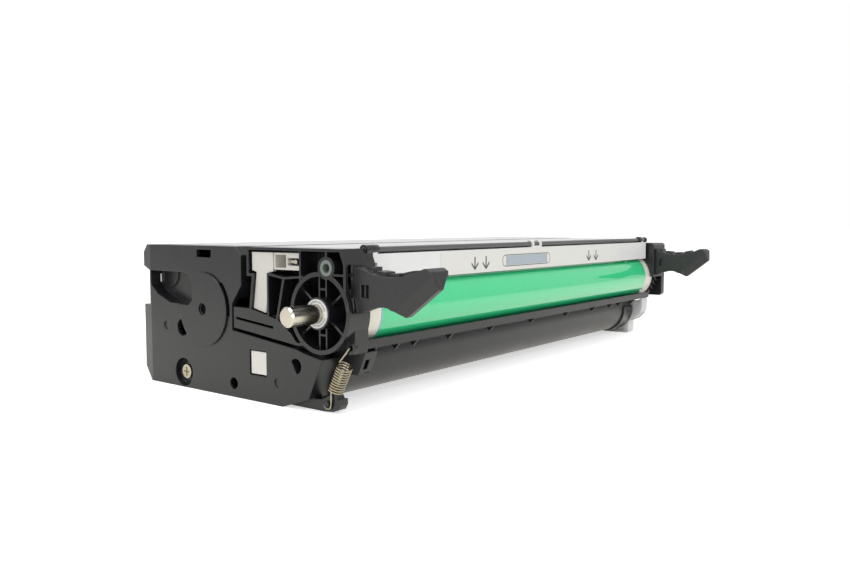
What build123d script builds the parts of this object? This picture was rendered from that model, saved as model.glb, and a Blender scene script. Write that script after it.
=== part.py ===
from build123d import *
import os
from math import atan2, cos, degrees, hypot, pi, radians, sin, tan

# A laser printer's toner cartridge: a toner unit below and behind, and a drum unit hinged to it.
# X runs along the drum, away from the end that shows the steel shaft. Y runs to the back. Z is up.
# The origin is on the drum's axis, where the free end of the shaft leaves its bush.
# Outlines are drawn in Y and Z. Depths are measured along X from the near end face.

# The near end face, and lengths along the cartridge
NEAR_FACE = 1.5
NEAR_BRACKET_DEPTH = 12.0
FRAME_END = 302.0
FAR_BRACKET_END = 322.0
FAR_PLATE_THICK = 5.0
FAR_WALL = 1.0
FAR_FRONT = -17.8
TUB_END = 304.0
FAR_COVER_END = 313.5
SIDE_GAP = 0.4
TUB_START = NEAR_BRACKET_DEPTH + SIDE_GAP
RUNNING = 0.05

# The drum, its flanges and its shaft
DRUM_R = 15.0
DRUM_WALL = 0.9
TUB_RIM = -(DRUM_R + 2.4)
FLANGE_FACE = NEAR_BRACKET_DEPTH + 1.5
COAT_START = FLANGE_FACE + 7.3
COAT_END = 295.4
FAR_FLANGE_END = 306.7
FLANGE_STEP = 0.15
SHAFT_R = 4.0
SHAFT_INNER_R = 3.5
SHAFT_FREE = 17.5
SHAFT_CHAMFER = 0.6
SHAFT_END = 320.0
HUB_R = 8.0

# Gears, all with the same tooth size
MODULE = 1.0
PRESSURE = 20.0
BACKLASH = 0.25
GEAR_PLAY = 0.12
DRUM_TEETH = 30
IDLER_TEETH = 20
AUGER_TEETH = 10
DEV_TEETH = 16
FEED_TEETH = 24
STIR_TEETH = 29
HELIX_START = 307.0
HELIX_END = 312.4
HELIX_TURN = 11.0
SPUR_START = 312.8
SPUR_END = 316.0
LOWER_GEAR_START = 306.0
LOWER_GEAR_END = 310.6

# Rollers and stirrers
DEV_R = 11.1
DEV_GAP = 0.4
DEV_LINE = -59.0
FEED_R = 8.2
CHARGE_R = 6.0
CHARGE_GAP = 0.35
CHARGE_LINE = 10.0
AUGER_R = 4.8
AUGER_CORE_R = 2.2
AUGER_PITCH = 24.0
STIR_R = 12.2
PIN_R = 2.5
ROLLER_SHAFT_R = 3.0
CHARGE_SHAFT_R = 2.5
ROLLER_START = 20.0
ROLLER_END = 294.0

# The hinge between the two units
PIVOT = (73.6, -2.9)
DISC_R = 16.8
DISC_THICK = 0.9
ARM_EYE_R = 5.0
ARM_START = 4.0
ARM_END = 7.5
FAR_ARM_START = 314.0
FAR_ARM_END = 317.0

# Walls and outer levels
TOP = 25.75
BOTTOM = -40.6
REAR = 122.0
REAR_FACE = 114.5
REAR_CHAMFER = 1.6
WALL = 2.0
THIN = 1.2
FANGS = (34.5, 46.9, 73.1, 108.2, 148.6, 188.3, 223.2, 247.8, 261.6, 281.5)
SLOT_TOP = 13.3
SLOT_FLOOR = -3.5
COVER_FRONT = 47.4
UNIT_REAR = 43.5
RIB = 0.9

# The near end frame
RING_R = 16.5
RING_WALL = 1.8
WEB = 2.0
POCKET_BACK = 6.5
POCKET = (
    (115.5, 7.0), (109.0, 2.2), (99.0, -1.4), (84.0, -1.9), (81.0, 0.6), (80.8, 9.0), (84.0, 12.4),
    (90.0, SLOT_TOP), (115.5, SLOT_TOP),
)
BUSH_R = 5.8
BUSH_PROUD = 1.5
BUSH_COLLAR = 0.7
LOCATOR = (-4.0, 18.1)
LOCATOR_R = 4.5
LOCATOR_BUSH_R = 3.2
LOCATOR_BORE_R = 1.85
LOCATOR_DEPTH = 7.0

# The handles
HANDLE_START = 4.2
HANDLE_WIDTH = 8.0
HANDLE_ROOT = -14.6
HANDLE_EDGE = 2.2
FAR_HANDLE_START = 305.0

# The guide plate and its rod
ROD_AT = (-11.2, 25.0)
ROD_R = 1.3
CLIP_WALL = 0.7
CLIPS = ((17.6, 20.4), (145.0, 147.0), (153.0, 155.0), (291.4, 294.4))
PLATE_FACE = -13.2
PLATE_THICK = 1.2
PLATE_LOW = 12.25
PLATE_HIGH = 23.4
PLATE_START = 20.0
PLATE_END = 299.0

# The spring
WIRE_R = 0.38
WIRE_SIDES = 5
COIL_R = 3.1
COIL_TURNS = 10
COIL_TOP = (-10.6, -20.4)
COIL_LOW = (-5.6, -30.8)
SPRING_DEPTH = 3.4
EYE_AT = (-13.2, -13.2)
EYE_R = 2.5
EYE_START = 4.0
POST_AT = (-0.9, -36.9)

# Where the near end cover is screwed on
COVER_SCREW = (89.3, -33.5)

# The level window in the near end cover: front, rear, low and high
WINDOW = (32.2, 41.8, -28.7, -18.9)


def along(length, angle, start=(0.0, 0.0)):
    """The point at a distance and a direction from a start, in Y and Z."""
    turn = radians(angle)
    return (start[0] + length * cos(turn), start[1] + length * sin(turn))


# Where each turning axis lies
DRUM = (0.0, 0.0)
DEV = along(DRUM_R + DEV_GAP + DEV_R, DEV_LINE)
FEED = along(MODULE * (DEV_TEETH + FEED_TEETH) / 2, -5.5, DEV)
STIR_FRONT = along(MODULE * (FEED_TEETH + STIR_TEETH) / 2, 4.8, FEED)
STIR_REAR = along(MODULE * STIR_TEETH, 0.0, STIR_FRONT)
CHARGE = along(DRUM_R + CHARGE_GAP + CHARGE_R, CHARGE_LINE)
IDLER = along(MODULE * (DRUM_TEETH + IDLER_TEETH) / 2, 14.0)
AUGER = along(MODULE * (IDLER_TEETH + AUGER_TEETH) / 2 + GEAR_PLAY, 38.0, IDLER)


def slab(sketch, start, end):
    """An outline in Y and Z, extruded between two depths from the near face."""
    return extrude(Plane.YZ.offset(NEAR_FACE + start) * sketch, amount=end - start)


def disc(r, at=DRUM):
    return Pos(at[0], at[1]) * Circle(r)


def ring(r_out, r_in, at=DRUM):
    return disc(r_out, at) - disc(r_in, at)


def shape(*points):
    """A filled outline. Its points are turned to run anticlockwise, so that outlines fuse."""
    ring_of_points = zip(points, points[1:] + points[:1])
    area = sum(p[0] * q[1] - q[0] * p[1] for p, q in ring_of_points)
    return Polygon(*(points if area > 0 else points[::-1]), align=None)


def block(y0, y1, z0, z1):
    return shape((y0, z0), (y1, z0), (y1, z1), (y0, z1))


def strip(p, q, width):
    """A straight wall from p to q, seen end on."""
    length = hypot(q[0] - p[0], q[1] - p[1])
    side = (-(q[1] - p[1]) * width / 2 / length, (q[0] - p[0]) * width / 2 / length)
    return shape(
        (p[0] + side[0], p[1] + side[1]),
        (q[0] + side[0], q[1] + side[1]),
        (q[0] - side[0], q[1] - side[1]),
        (p[0] - side[0], p[1] - side[1]),
    )


def inset(sketch, wall):
    return offset(sketch, amount=-wall, kind=Kind.INTERSECTION)


def gear_face(teeth, phase):
    """A spur gear's outline about its own centre, with a tooth centred on the phase angle."""
    pitch = teeth * MODULE / 2
    slope = tan(radians(PRESSURE))
    half = (pi * MODULE / 2 - BACKLASH) / 2
    levels = (
        (pitch - 1.25 * MODULE, half + 1.05 * MODULE * slope),
        (pitch + MODULE, half - 1.06 * MODULE * slope),
    )
    points = []
    for tooth in range(teeth):
        middle = phase + tooth * 360.0 / teeth
        for r, w in levels:
            points.append(along(r, middle - degrees(w / r)))
        for r, w in reversed(levels):
            points.append(along(r, middle + degrees(w / r)))
    return shape(*points)


def mesh_phase(phase, teeth, centre, next_teeth, next_centre):
    """The phase that puts the next gear's gap on this gear's tooth."""
    line = degrees(atan2(next_centre[1] - centre[1], next_centre[0] - centre[0]))
    return line + 180.0 - (phase - line) * teeth / next_teeth + 180.0 / next_teeth


DRUM_PHASE = 0.0
IDLER_PHASE = mesh_phase(DRUM_PHASE, DRUM_TEETH, DRUM, IDLER_TEETH, IDLER)
AUGER_PHASE = mesh_phase(IDLER_PHASE, IDLER_TEETH, IDLER, AUGER_TEETH, AUGER)
DEV_PHASE = 0.0
FEED_PHASE = mesh_phase(DEV_PHASE, DEV_TEETH, DEV, FEED_TEETH, FEED)
STIR_FRONT_PHASE = mesh_phase(FEED_PHASE, FEED_TEETH, FEED, STIR_TEETH, STIR_FRONT)
STIR_REAR_PHASE = mesh_phase(STIR_FRONT_PHASE, STIR_TEETH, STIR_FRONT, STIR_TEETH, STIR_REAR)


def gear(teeth, phase, at, start, end, bore):
    """A spur gear with a dished web and a hub, on its axis."""
    pitch = teeth * MODULE / 2
    blank = Pos(at[0], at[1]) * gear_face(teeth, phase)
    solid = slab(blank - disc(bore, at), start, end)
    rim = pitch - 1.25 * MODULE - 1.2
    hub = bore + 1.3
    if rim - hub > 1.5:
        dish = ring(rim, hub, at)
        solid -= slab(dish, start, start + (end - start) * 0.35)
        solid -= slab(dish, end - (end - start) * 0.35, end)
    return solid


# The drum and what turns with it

def drum_tube():
    return slab(ring(DRUM_R, DRUM_R - DRUM_WALL), COAT_START, COAT_END)


def flange(face, shoulder, tip):
    """A moulded end flange: a rim outside the tube, a plug inside it, and spokes to the hub."""
    low, high = sorted((face, shoulder))
    plug_low, plug_high = sorted((shoulder, tip))
    rim = slab(ring(DRUM_R - FLANGE_STEP, HUB_R), low, high)
    plug = slab(ring(DRUM_R - DRUM_WALL, DRUM_R - 3.0), plug_low, plug_high)
    hub = slab(ring(HUB_R, SHAFT_INNER_R + RUNNING), low, plug_high if tip > shoulder else high)
    if tip < shoulder:
        hub += slab(ring(HUB_R, SHAFT_INNER_R + RUNNING), plug_low, plug_high)
    return rim + plug + hub


def near_flange():
    return flange(FLANGE_FACE, COAT_START, COAT_START + 9.0)


def far_flange():
    return flange(FAR_FLANGE_END, COAT_END, COAT_END - 9.0)


def helical_rim():
    """The helical teeth at the drum's drive end, twisted over their face width."""
    section = Plane.YZ.offset(NEAR_FACE + HELIX_START) * gear_face(DRUM_TEETH, DRUM_PHASE)
    start = Vector(NEAR_FACE + HELIX_START, 0, 0)
    width = Vector(HELIX_END - HELIX_START, 0, 0)
    rim = Solid.extrude_linear_with_rotation(section.face(), start, width, HELIX_TURN)
    return rim - slab(disc(SHAFT_INNER_R + RUNNING), HELIX_START, HELIX_END)


def drum_gear():
    neck = slab(ring(DRUM_R - 2.0, SHAFT_INNER_R + RUNNING), FAR_FLANGE_END, SPUR_START)
    spur = gear(DRUM_TEETH, DRUM_PHASE, DRUM, SPUR_START, SPUR_END, SHAFT_INNER_R + RUNNING)
    boss = slab(ring(HUB_R - 2.0, SHAFT_INNER_R + RUNNING), SPUR_END, SPUR_END + 0.6)
    return helical_rim() + neck + spur + boss


def drum_shaft():
    free = slab(disc(SHAFT_R), -SHAFT_FREE, -BUSH_PROUD)
    tip = free.faces().sort_by(Axis.X)[0].edges()
    free = chamfer(tip, SHAFT_CHAMFER)
    return free + slab(disc(SHAFT_INNER_R), -BUSH_PROUD, SHAFT_END)


# The near end frame of the drum unit, with its ribbed hub

def frame_outline():
    plate = shape(
        (-12.0, TOP), (UNIT_REAR, TOP), (UNIT_REAR, SLOT_TOP), (40.2, SLOT_TOP), (42.0, -0.6),
        (52.5, -0.6), (52.5, -9.6), (12.0, -14.1), (0.0, -12.0), (-12.0, -3.0), (-14.5, 0.6), (-14.5, 19.8),
    )
    return plate + disc(RING_R)


def tongue_outline():
    return shape((52.5, -0.6), (52.5, -9.6), (12.0, -14.1), (16.5, -9.5), (24.6, -4.2), (42.0, -0.6))


def frame_ribs():
    """The walls that stand on the web round the pockets and the hub."""
    walls = frame_outline() - inset(frame_outline(), THIN)
    walls += ring(RING_R, RING_R - RING_WALL)
    walls += strip((10.7, TOP), (10.7, 12.5), RIB)
    walls += strip((20.5, 13.0), (24.9, -5.0), THIN)
    walls += strip((30.2, 14.6), (20.5, 13.2), RIB)
    walls += strip((20.5, 13.2), (9.0, 14.2), RIB)
    walls += strip((30.2, 15.0), (30.2, -3.0), RIB)
    walls += strip((-4.0, TOP), (-4.0, 21.5), RIB)
    walls += strip((-8.0, 15.5), (-14.0, 15.5), RIB)
    walls += disc(LOCATOR_R, LOCATOR)
    return walls & (frame_outline() + block(-14.6, 43.5, 0.0, TOP))


def hub_ribs():
    """The two upright ribs with rungs and the four diagonal ribs inside the ring."""
    reach = RING_R - RING_WALL / 2
    ribs = block(-1.9, -1.1, -reach, reach) + block(1.9, 2.7, -reach, reach)
    for rung in (9.5, -9.0):
        ribs += block(-1.5, 2.3, rung - RIB / 2, rung + RIB / 2)
    for turn in (38.0, 142.0, 218.0, 322.0):
        ribs += strip(along(BUSH_R, turn), along(reach, turn), RIB)
    return (ribs + disc(BUSH_R + 0.4)) & disc(reach)


def near_frame():
    web_face = NEAR_BRACKET_DEPTH - WEB
    solid = slab(frame_outline(), web_face, NEAR_BRACKET_DEPTH)
    solid += slab(frame_ribs(), 0.0, web_face)
    solid += slab(hub_ribs(), 2.5, web_face)
    solid += slab(disc(BUSH_R + BUSH_COLLAR), -BUSH_PROUD + 0.4, web_face)
    solid += slab(tongue_outline() & inset(frame_outline(), THIN / 2), 0.0, 2.0)
    solid += slab(near_lower_front(), HANDLE_START, NEAR_BRACKET_DEPTH)
    solid += slab(disc(EYE_R, EYE_AT), EYE_START, HANDLE_START + 1.5)
    solid += slab(arm_outline(), ARM_START, ARM_END)
    solid -= slab(block(-20.0, -13.2, 1.0, 19.6), 1.4, HANDLE_START)
    solid -= slab(strip((51.0, -5.3), (27.0, -7.8), 1.1), -1.0, 2.5)
    solid -= slab(disc(BUSH_R), -BUSH_PROUD, 0.0)
    solid -= slab(disc(BUSH_R - 1.0), 0.0, NEAR_BRACKET_DEPTH)
    solid -= slab(disc(1.1, EYE_AT), 0.0, EYE_START + 3.0)
    solid -= slab(disc(LOCATOR_BUSH_R, LOCATOR), -1.0, LOCATOR_DEPTH)
    solid -= slab(disc(PIN_R + RUNNING, PIVOT), ARM_START - 1.0, ARM_END + 1.0)
    return solid


def near_lower_front():
    """The column under the handle, down to the spring's eye."""
    return shape(
        (-12.5, 0.8), (-15.4, 0.8), (-15.4, -12.0), (-14.8, -15.6), (-12.0, -16.0), (-10.6, -13.5), (-10.9, -9.0),
    )


def arm_outline():
    """The arm that reaches back from the tongue to the hinge pin."""
    return disc(ARM_EYE_R, PIVOT) + shape((50.0, -1.2), (50.0, -9.0), (73.6, -7.9), (73.6, 2.1))


def shaft_bush():
    """The white bush that carries the drum shaft, with its two arc slots."""
    bush = slab(ring(BUSH_R, SHAFT_INNER_R), -BUSH_PROUD, 0.0)
    bush += slab(ring(BUSH_R - 1.0, SHAFT_INNER_R), 0.0, NEAR_BRACKET_DEPTH)
    slots = ring(BUSH_R - 0.6, SHAFT_R + 0.45) - block(-BUSH_R, BUSH_R, -1.2, 1.2)
    return bush - slab(slots, -BUSH_PROUD, -BUSH_PROUD + 1.0)


def locating_bush():
    return slab(ring(LOCATOR_BUSH_R, LOCATOR_BORE_R, LOCATOR), 0.0, LOCATOR_DEPTH)


def terminal_plate():
    """The white T-shaped plate in the frame's rear pocket."""
    face = shape(
        (41.2, 23.6), (28.0, 23.6), (28.0, 15.7), (30.8, 15.2), (30.8, 10.5), (32.8, -2.1),
        (40.6, -0.4), (38.4, 15.2), (41.2, 15.7),
    )
    spine = strip((34.8, 14.0), (35.6, 3.0), 2.0)
    return slab(face, 1.2, 3.2) + slab(spine, 3.2, NEAR_BRACKET_DEPTH - WEB)


def contact_block():
    """The white box behind the contact, with the two bars that guard it."""
    bars = block(11.3, 19.6, 16.5, 18.4) + block(11.3, 19.6, 21.5, 23.6)
    box = block(19.5, 27.9, 16.5, 23.6)
    box_end = NEAR_BRACKET_DEPTH - WEB
    return slab(bars, 1.6, 3.2) + slab(box, 1.6, box_end) - slab(inset(box, RIB), 1.0, box_end - 1.4)


def contact_rod():
    return slab(disc(0.9, (15.4, 19.95)), 2.2, 8.0) + slab(block(15.4, 19.5, 19.4, 20.5), 2.6, 3.6)


# The drum unit's long frame and its cleaning parts

def drum_frame_outline():
    divider_face = CHARGE[0] + CHARGE_R + 1.2
    top = block(-8.4, UNIT_REAR, TOP - 1.5, TOP)
    beam = block(-8.4, -6.6, 17.6, TOP)
    rear = block(UNIT_REAR - 1.5, UNIT_REAR, 1.2, TOP)
    floor = shape((UNIT_REAR, 1.2), (divider_face, -2.6), (divider_face, -0.8), (UNIT_REAR, 3.0))
    divider = block(divider_face, divider_face + 1.4, -2.6, 13.0)
    lip = strip((divider_face + 0.7, 12.6), (25.0, 17.2), 1.4)
    seat = block(20.2, 24.6, 21.9, TOP - 0.5)
    return top + beam + rear + floor + divider + lip + seat


def drum_frame():
    end_plate = shape(
        (-8.4, 17.6), (-8.4, TOP), (UNIT_REAR, TOP), (UNIT_REAR, 1.2), (28.2, -2.6), (24.0, -3.0),
    ) - disc(DRUM_R + 0.8)
    solid = slab(drum_frame_outline(), NEAR_BRACKET_DEPTH, FRAME_END)
    solid += slab(end_plate, FRAME_END - WEB, FRAME_END)
    solid += slab(end_plate, NEAR_BRACKET_DEPTH, NEAR_BRACKET_DEPTH + WEB)
    near_saddle = disc(ROD_R + 0.9, ROD_AT) + block(ROD_AT[0], -7.0, ROD_AT[1] - 1.6, TOP)
    far_saddle = disc(ROD_R + 0.5, ROD_AT) + block(ROD_AT[0], -7.0, ROD_AT[1] - 1.2, TOP)
    solid += slab(near_saddle, NEAR_BRACKET_DEPTH + WEB, CLIPS[0][0] - SIDE_GAP)
    solid += slab(far_saddle, PLATE_END + SIDE_GAP, FRAME_END)
    solid -= slab(disc(ROD_R, ROD_AT), NEAR_BRACKET_DEPTH, FRAME_END)
    solid -= slab(disc(CHARGE_SHAFT_R + 2.2, CHARGE), NEAR_BRACKET_DEPTH, FRAME_END)
    solid -= slab(disc(ROLLER_SHAFT_R - 1.0 + RUNNING, AUGER), NEAR_BRACKET_DEPTH, FRAME_END)
    return solid


def blade_bracket():
    """The folded steel plate that carries the cleaning blade."""
    plate = strip((24.4, 21.4), (11.2, 18.0), 1.0)
    foot = block(20.2, 24.6, 20.9, 21.9)
    return slab(plate + foot, NEAR_BRACKET_DEPTH + WEB + 2.0, FRAME_END - WEB - 2.0)


def cleaning_blade():
    edge = strip((13.5, 17.2), (5.2, 15.2), 1.3)
    return slab(edge & block(4.9, 14.0, 14.0, 20.0), ROLLER_START, ROLLER_END)


def charge_bearing(start, end):
    body = disc(CHARGE_SHAFT_R + 2.2, CHARGE) - disc(CHARGE_SHAFT_R + RUNNING, CHARGE)
    return slab(body, start, end)


def charge_core():
    return slab(disc(CHARGE_SHAFT_R, CHARGE), NEAR_BRACKET_DEPTH + 0.3, FRAME_END - 0.3)


def charge_sleeve():
    return slab(ring(CHARGE_R, CHARGE_SHAFT_R, CHARGE), COAT_START, COAT_END)


def waste_auger():
    """The paddle screw that carries used toner along the waste chamber."""
    core = slab(disc(AUGER_CORE_R, AUGER), NEAR_BRACKET_DEPTH + WEB, FRAME_END - WEB)
    core += slab(disc(ROLLER_SHAFT_R - 1.0, AUGER), NEAR_BRACKET_DEPTH + 0.4, SPUR_END + 0.8)
    first = NEAR_BRACKET_DEPTH + WEB + 6.0
    paddles = []
    for index in range(int((FRAME_END - WEB - 6.0 - first) / (AUGER_PITCH / 2))):
        tilt = 25.0 if index % 2 == 0 else -25.0
        place = Location((NEAR_FACE + first + index * AUGER_PITCH / 2, AUGER[0], AUGER[1]), (0, 90 + tilt, 0))
        paddles.append(place * extrude(RegularPolygon(AUGER_R, 12), amount=1.2))
    return core + paddles


# The far end bracket of the drum unit

def far_plate():
    return shape(
        (FAR_FRONT + 1.4, 22.8), (UNIT_REAR, 22.8), (UNIT_REAR, -3.5), (33.0, -9.0), (12.0, -14.0),
        (FAR_FRONT + 1.4, -14.0), (FAR_FRONT, -12.6), (FAR_FRONT, 21.4),
    )


def far_frame():
    """The box round the gears: an outer plate, walls above and in front, and an inner cheek."""
    plate = far_plate()
    plate_start = FAR_BRACKET_END - FAR_PLATE_THICK
    solid = slab(plate, plate_start, FAR_BRACKET_END)
    solid -= slab(inset(plate, 1.6), FAR_BRACKET_END - FAR_PLATE_THICK / 2, FAR_BRACKET_END)
    walls = (plate - inset(plate, FAR_WALL)) & block(FAR_FRONT, UNIT_REAR, -0.2, TOP)
    solid += slab(walls, FRAME_END, plate_start)
    cheek = (plate & block(FAR_FRONT, -8.4, -0.2, TOP)) - disc(DRUM_R + 0.8)
    solid += slab(cheek, FRAME_END, FRAME_END + 1.8)
    solid += slab(disc(HUB_R), SPUR_END + 1.0, FAR_BRACKET_END)
    solid += slab(disc(PIN_R, IDLER), SPUR_START - 0.6, plate_start)
    solid += slab(arm_outline() + block(36.0, 52.0, -8.0, -1.2), FAR_ARM_START, FAR_ARM_END)
    solid += slab(block(36.0, UNIT_REAR, -4.6, 3.0), FAR_ARM_START, FAR_BRACKET_END - 3.0)
    solid -= slab(disc(SHAFT_INNER_R), SPUR_END, SHAFT_END)
    solid -= slab(disc(PIN_R + RUNNING, PIVOT), FAR_ARM_START - 1.0, FAR_ARM_END + 1.0)
    return solid


# The handles

def handle_outline(root):
    """The grip seen from the side, from its root on the bracket to its tip."""
    with BuildSketch() as sketch:
        with BuildLine():
            Polyline((root, 0.9), (root, 18.9), (-20.5, 18.3))
            ThreePointArc((-20.5, 18.3), (-33.0, 15.3), (-47.6, 18.4))
            Polyline((-47.6, 18.4), (-50.0, 19.4), (-53.2, 17.5), (-56.2, 12.0), (-42.0, 1.0), (-40.8, 1.0))
            ThreePointArc((-40.8, 1.0), (-38.0, 2.4), (-34.4, 2.9))
            ThreePointArc((-34.4, 2.9), (-27.5, 3.3), (-20.5, 0.9))
            Line((-20.5, 0.9), (root, 0.9))
        make_face()
    return sketch.sketch


def handle(root):
    """A moulded grip: ribs for the finger on top, a window for the latch, a bevelled lower edge."""
    start = HANDLE_START
    end = HANDLE_START + HANDLE_WIDTH
    solid = slab(handle_outline(root), start, end) - handle_bevel()
    for y in (-22.0, -27.5, -33.0, -38.5, -44.0):
        solid += slab(disc(0.7, (y, finger_height(y))), start, end)
    solid -= slab(block(-22.9, -18.7, 7.1, 11.9), start - 1.0, start + 2.2)
    solid += slab(block(-21.0, -19.9, 7.4, 10.6), start + 0.5, start + 2.2)
    solid -= slab(inset(handle_outline(root), 2.2) & block(-50.0, -17.0, 4.5, 15.0), start + 3.0, end + 1.0)
    for y in (-24.0, -31.0, -38.0):
        solid += slab(block(y - RIB / 2, y + RIB / 2, 3.0, 16.0) & handle_outline(root), start + 2.5, end - 0.6)
    return solid


def handle_bevel():
    """The wedge taken off the grip's near face, from its low corner to its tip."""
    edge = Vector(0, -14.2, 11.0)
    slope = Vector(HANDLE_EDGE, -2.6, -3.3)
    face = Plane(origin=(NEAR_FACE + HANDLE_START, -38.6, 4.2), x_dir=edge, z_dir=slope.cross(edge))
    return extrude(face * Rectangle(60.0, 24.0), amount=8.0)


def finger_height(y):
    """The height of the grip's hollow top at a place along the handle."""
    middle = (-20.5 - 47.6) / 2
    return 15.2 + 3.1 * ((y - middle) / 13.55) ** 2


def near_handle():
    return handle(HANDLE_ROOT) - slab(disc(RING_R), 0.0, NEAR_BRACKET_DEPTH + 1.0)


def far_handle():
    return Pos(FAR_HANDLE_START - HANDLE_START, 0, 0) * handle(FAR_FRONT)


# The guide plate, which swings on its rod

def guide_rod():
    return slab(disc(ROD_R, ROD_AT), NEAR_BRACKET_DEPTH + WEB, FRAME_END)


def guide_plate():
    back = PLATE_FACE + PLATE_THICK
    plate = slab(block(PLATE_FACE, back, PLATE_LOW, PLATE_HIGH), PLATE_START, PLATE_END)
    clip = ring(ROD_R + RUNNING + CLIP_WALL, ROD_R + RUNNING, ROD_AT)
    clip -= block(ROD_AT[0] + 0.9, ROD_AT[0] + 4.0, ROD_AT[1] - 1.6, ROD_AT[1] + 1.0)
    clip += block(PLATE_FACE, back, PLATE_HIGH - 3.6, ROD_AT[1] - 1.0) - disc(ROD_R + RUNNING, ROD_AT)
    for start, end in CLIPS:
        plate += slab(clip, start, end)
    return plate + slab(block(PLATE_FACE, back - 0.3, PLATE_HIGH - 1.0, PLATE_HIGH + 0.7), CLIPS[1][0], CLIPS[2][1])


# The toner unit's shells

def belly():
    return DEV_R + 4.0


def tub_outline():
    """The lower shell, seen end on: a round belly under the roller, a flat floor, a rear wall."""
    b = belly()
    low = DEV[1] - b
    outer = disc(b, DEV) + shape(
        (DEV[0], low), (22.0, BOTTOM), (REAR - 6.5, BOTTOM), (REAR, BOTTOM + 6.6), (REAR, 0.0), (DEV[0], 0.0),
    )
    inner = disc(b - WALL, DEV) + shape(
        (DEV[0], low + WALL), (22.4, BOTTOM + WALL), (REAR - 7.4, BOTTOM + WALL),
        (REAR - WALL, BOTTOM + 7.4), (REAR - WALL, 10.0), (DEV[0], 10.0),
    )
    above = shape(
        (-30.0, TUB_RIM), (14.0, TUB_RIM), (24.0, -16.1), (54.0, -11.2), (61.0, SLOT_FLOOR - WALL),
        (REAR + 20.0, SLOT_FLOOR - WALL), (REAR + 20.0, 30.0), (-30.0, 30.0),
    )
    return outer - inner - above


def lip_outline():
    """The guide lip under the drum, and the web that joins it to the belly."""
    face = 1.0 - DRUM_R
    return block(face, face + 1.4, -14.4, -10.9) + strip((face + 0.6, -14.0), (0.2, TUB_RIM), THIN)


def toner_tub():
    b = belly()
    solid = slab(tub_outline() + lip_outline(), TUB_START, TUB_END)
    closed = shape(
        (DEV[0] - 9.0, TUB_RIM), (14.0, TUB_RIM), (24.0, -16.1), (54.0, -11.2), (61.0, SLOT_FLOOR - WALL),
        (REAR - 0.5, SLOT_FLOOR - WALL), (REAR - 0.5, BOTTOM + 7.0), (REAR - 7.0, BOTTOM + 0.5),
        (22.2, BOTTOM + 0.5), (DEV[0], DEV[1] - b + 0.5),
    ) + (disc(b - 0.5, DEV) & block(-30.0, 14.0, -60.0, TUB_RIM))
    for start, end in ((TUB_START, TUB_START + WALL), (TUB_END - WALL, TUB_END)):
        solid += slab(closed, start, end)
    collar = ring(b + 1.0, b - 0.5, DEV) & block(-30.0, 12.0, -60.0, -21.0)
    for start, end in ((TUB_START, TUB_START + 5.0), (TUB_END - 14.0, TUB_END)):
        solid += slab(collar, start, end)
    fang = shape((1.2 - DRUM_R, -14.0), (-10.6, -17.6), (-7.8, -14.8))
    for depth in FANGS:
        solid += slab(fang, depth - RIB / 2, depth + RIB / 2)
    solid += near_gussets()
    for at, r in ((DEV, ROLLER_SHAFT_R), (FEED, ROLLER_SHAFT_R), (STIR_FRONT, PIN_R), (STIR_REAR, PIN_R)):
        solid -= slab(disc(r + RUNNING, at), TUB_START - 1.0, TUB_END + 1.0)
    return solid


def near_gussets():
    """The two gussets and the sloping cheek that carry the lip's near end."""
    gusset = shape((1.2 - DRUM_R, -13.4), (-9.4, -25.6), (2.4, -26.0), (2.4, -17.0))
    gusset -= disc(belly() - 1.0, DEV)
    cheek = strip((-13.0, -15.8), (-9.2, -24.6), THIN)
    window = strip((-12.0, -19.2), (-10.2, -23.4), 4.0)
    ends = slab(gusset, TUB_START, TUB_START + RIB) + slab(gusset, TUB_START + 6.4, TUB_START + 7.3)
    return ends + slab(cheek, TUB_START, TUB_START + 7.3) - slab(window, TUB_START + 1.6, TUB_START + 4.2)


def tub_lid():
    face = shape(
        (REAR, SLOT_FLOOR), (60.0, SLOT_FLOOR), (53.0, -9.0), (23.6, -13.9), (24.0, -16.1),
        (54.0, -11.2), (61.0, SLOT_FLOOR - WALL), (REAR, SLOT_FLOOR - WALL),
    )
    return slab(face, TUB_START, TUB_END)


def top_cover():
    """The upper rear shell, with the beam's slot left open below it."""
    outline = shape(
        (COVER_FRONT + 3.6, TOP), (REAR - 4.0, TOP), (REAR, TOP - 3.8), (REAR, SLOT_TOP + 4.0),
        (REAR - 4.0, SLOT_TOP), (COVER_FRONT + 3.0, SLOT_TOP), (COVER_FRONT, SLOT_TOP + 3.0), (COVER_FRONT, TOP - 3.7),
    )
    hollow = inset(outline, 1.8) + block(COVER_FRONT + 4.0, REAR - 5.0, SLOT_TOP - 1.0, SLOT_TOP + 2.0)
    solid = slab(outline - hollow, TUB_START, TUB_END)
    slot_end = block(COVER_FRONT + 9.1, REAR - 9.0, SLOT_FLOOR, SLOT_TOP + 1.0)
    for start in (TUB_START, TUB_END - 1.8):
        solid += slab(outline + slot_end, start, start + 1.8)
    for depth in (60.0, 108.0, 157.0, 206.0, 254.0):
        solid += slab(inset(outline, 1.0) - block(COVER_FRONT, REAR, 0.0, SLOT_TOP + 1.8), depth, depth + RIB)
    return solid


def slot_roof():
    """The flat plate that closes the top cover from below and forms the slot's ceiling."""
    return slab(block(COVER_FRONT + 4.2, REAR - 5.2, SLOT_TOP, SLOT_TOP + 1.6), TUB_START + 1.8, TUB_END - 1.8)


def doctor_bracket():
    """The steel strip on the lid's front edge that holds the metering blade."""
    return slab(shape((36.0, -11.83), (26.0, -13.5), (26.0, -12.3), (36.0, -10.63)), ROLLER_START, ROLLER_END)


def doctor_blade():
    face = shape((25.9, -13.45), (25.9, -12.6), (22.8, -13.0), (21.2, -14.0), (21.8, -14.6), (23.5, -13.85))
    return slab(face, ROLLER_START, ROLLER_END)


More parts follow.
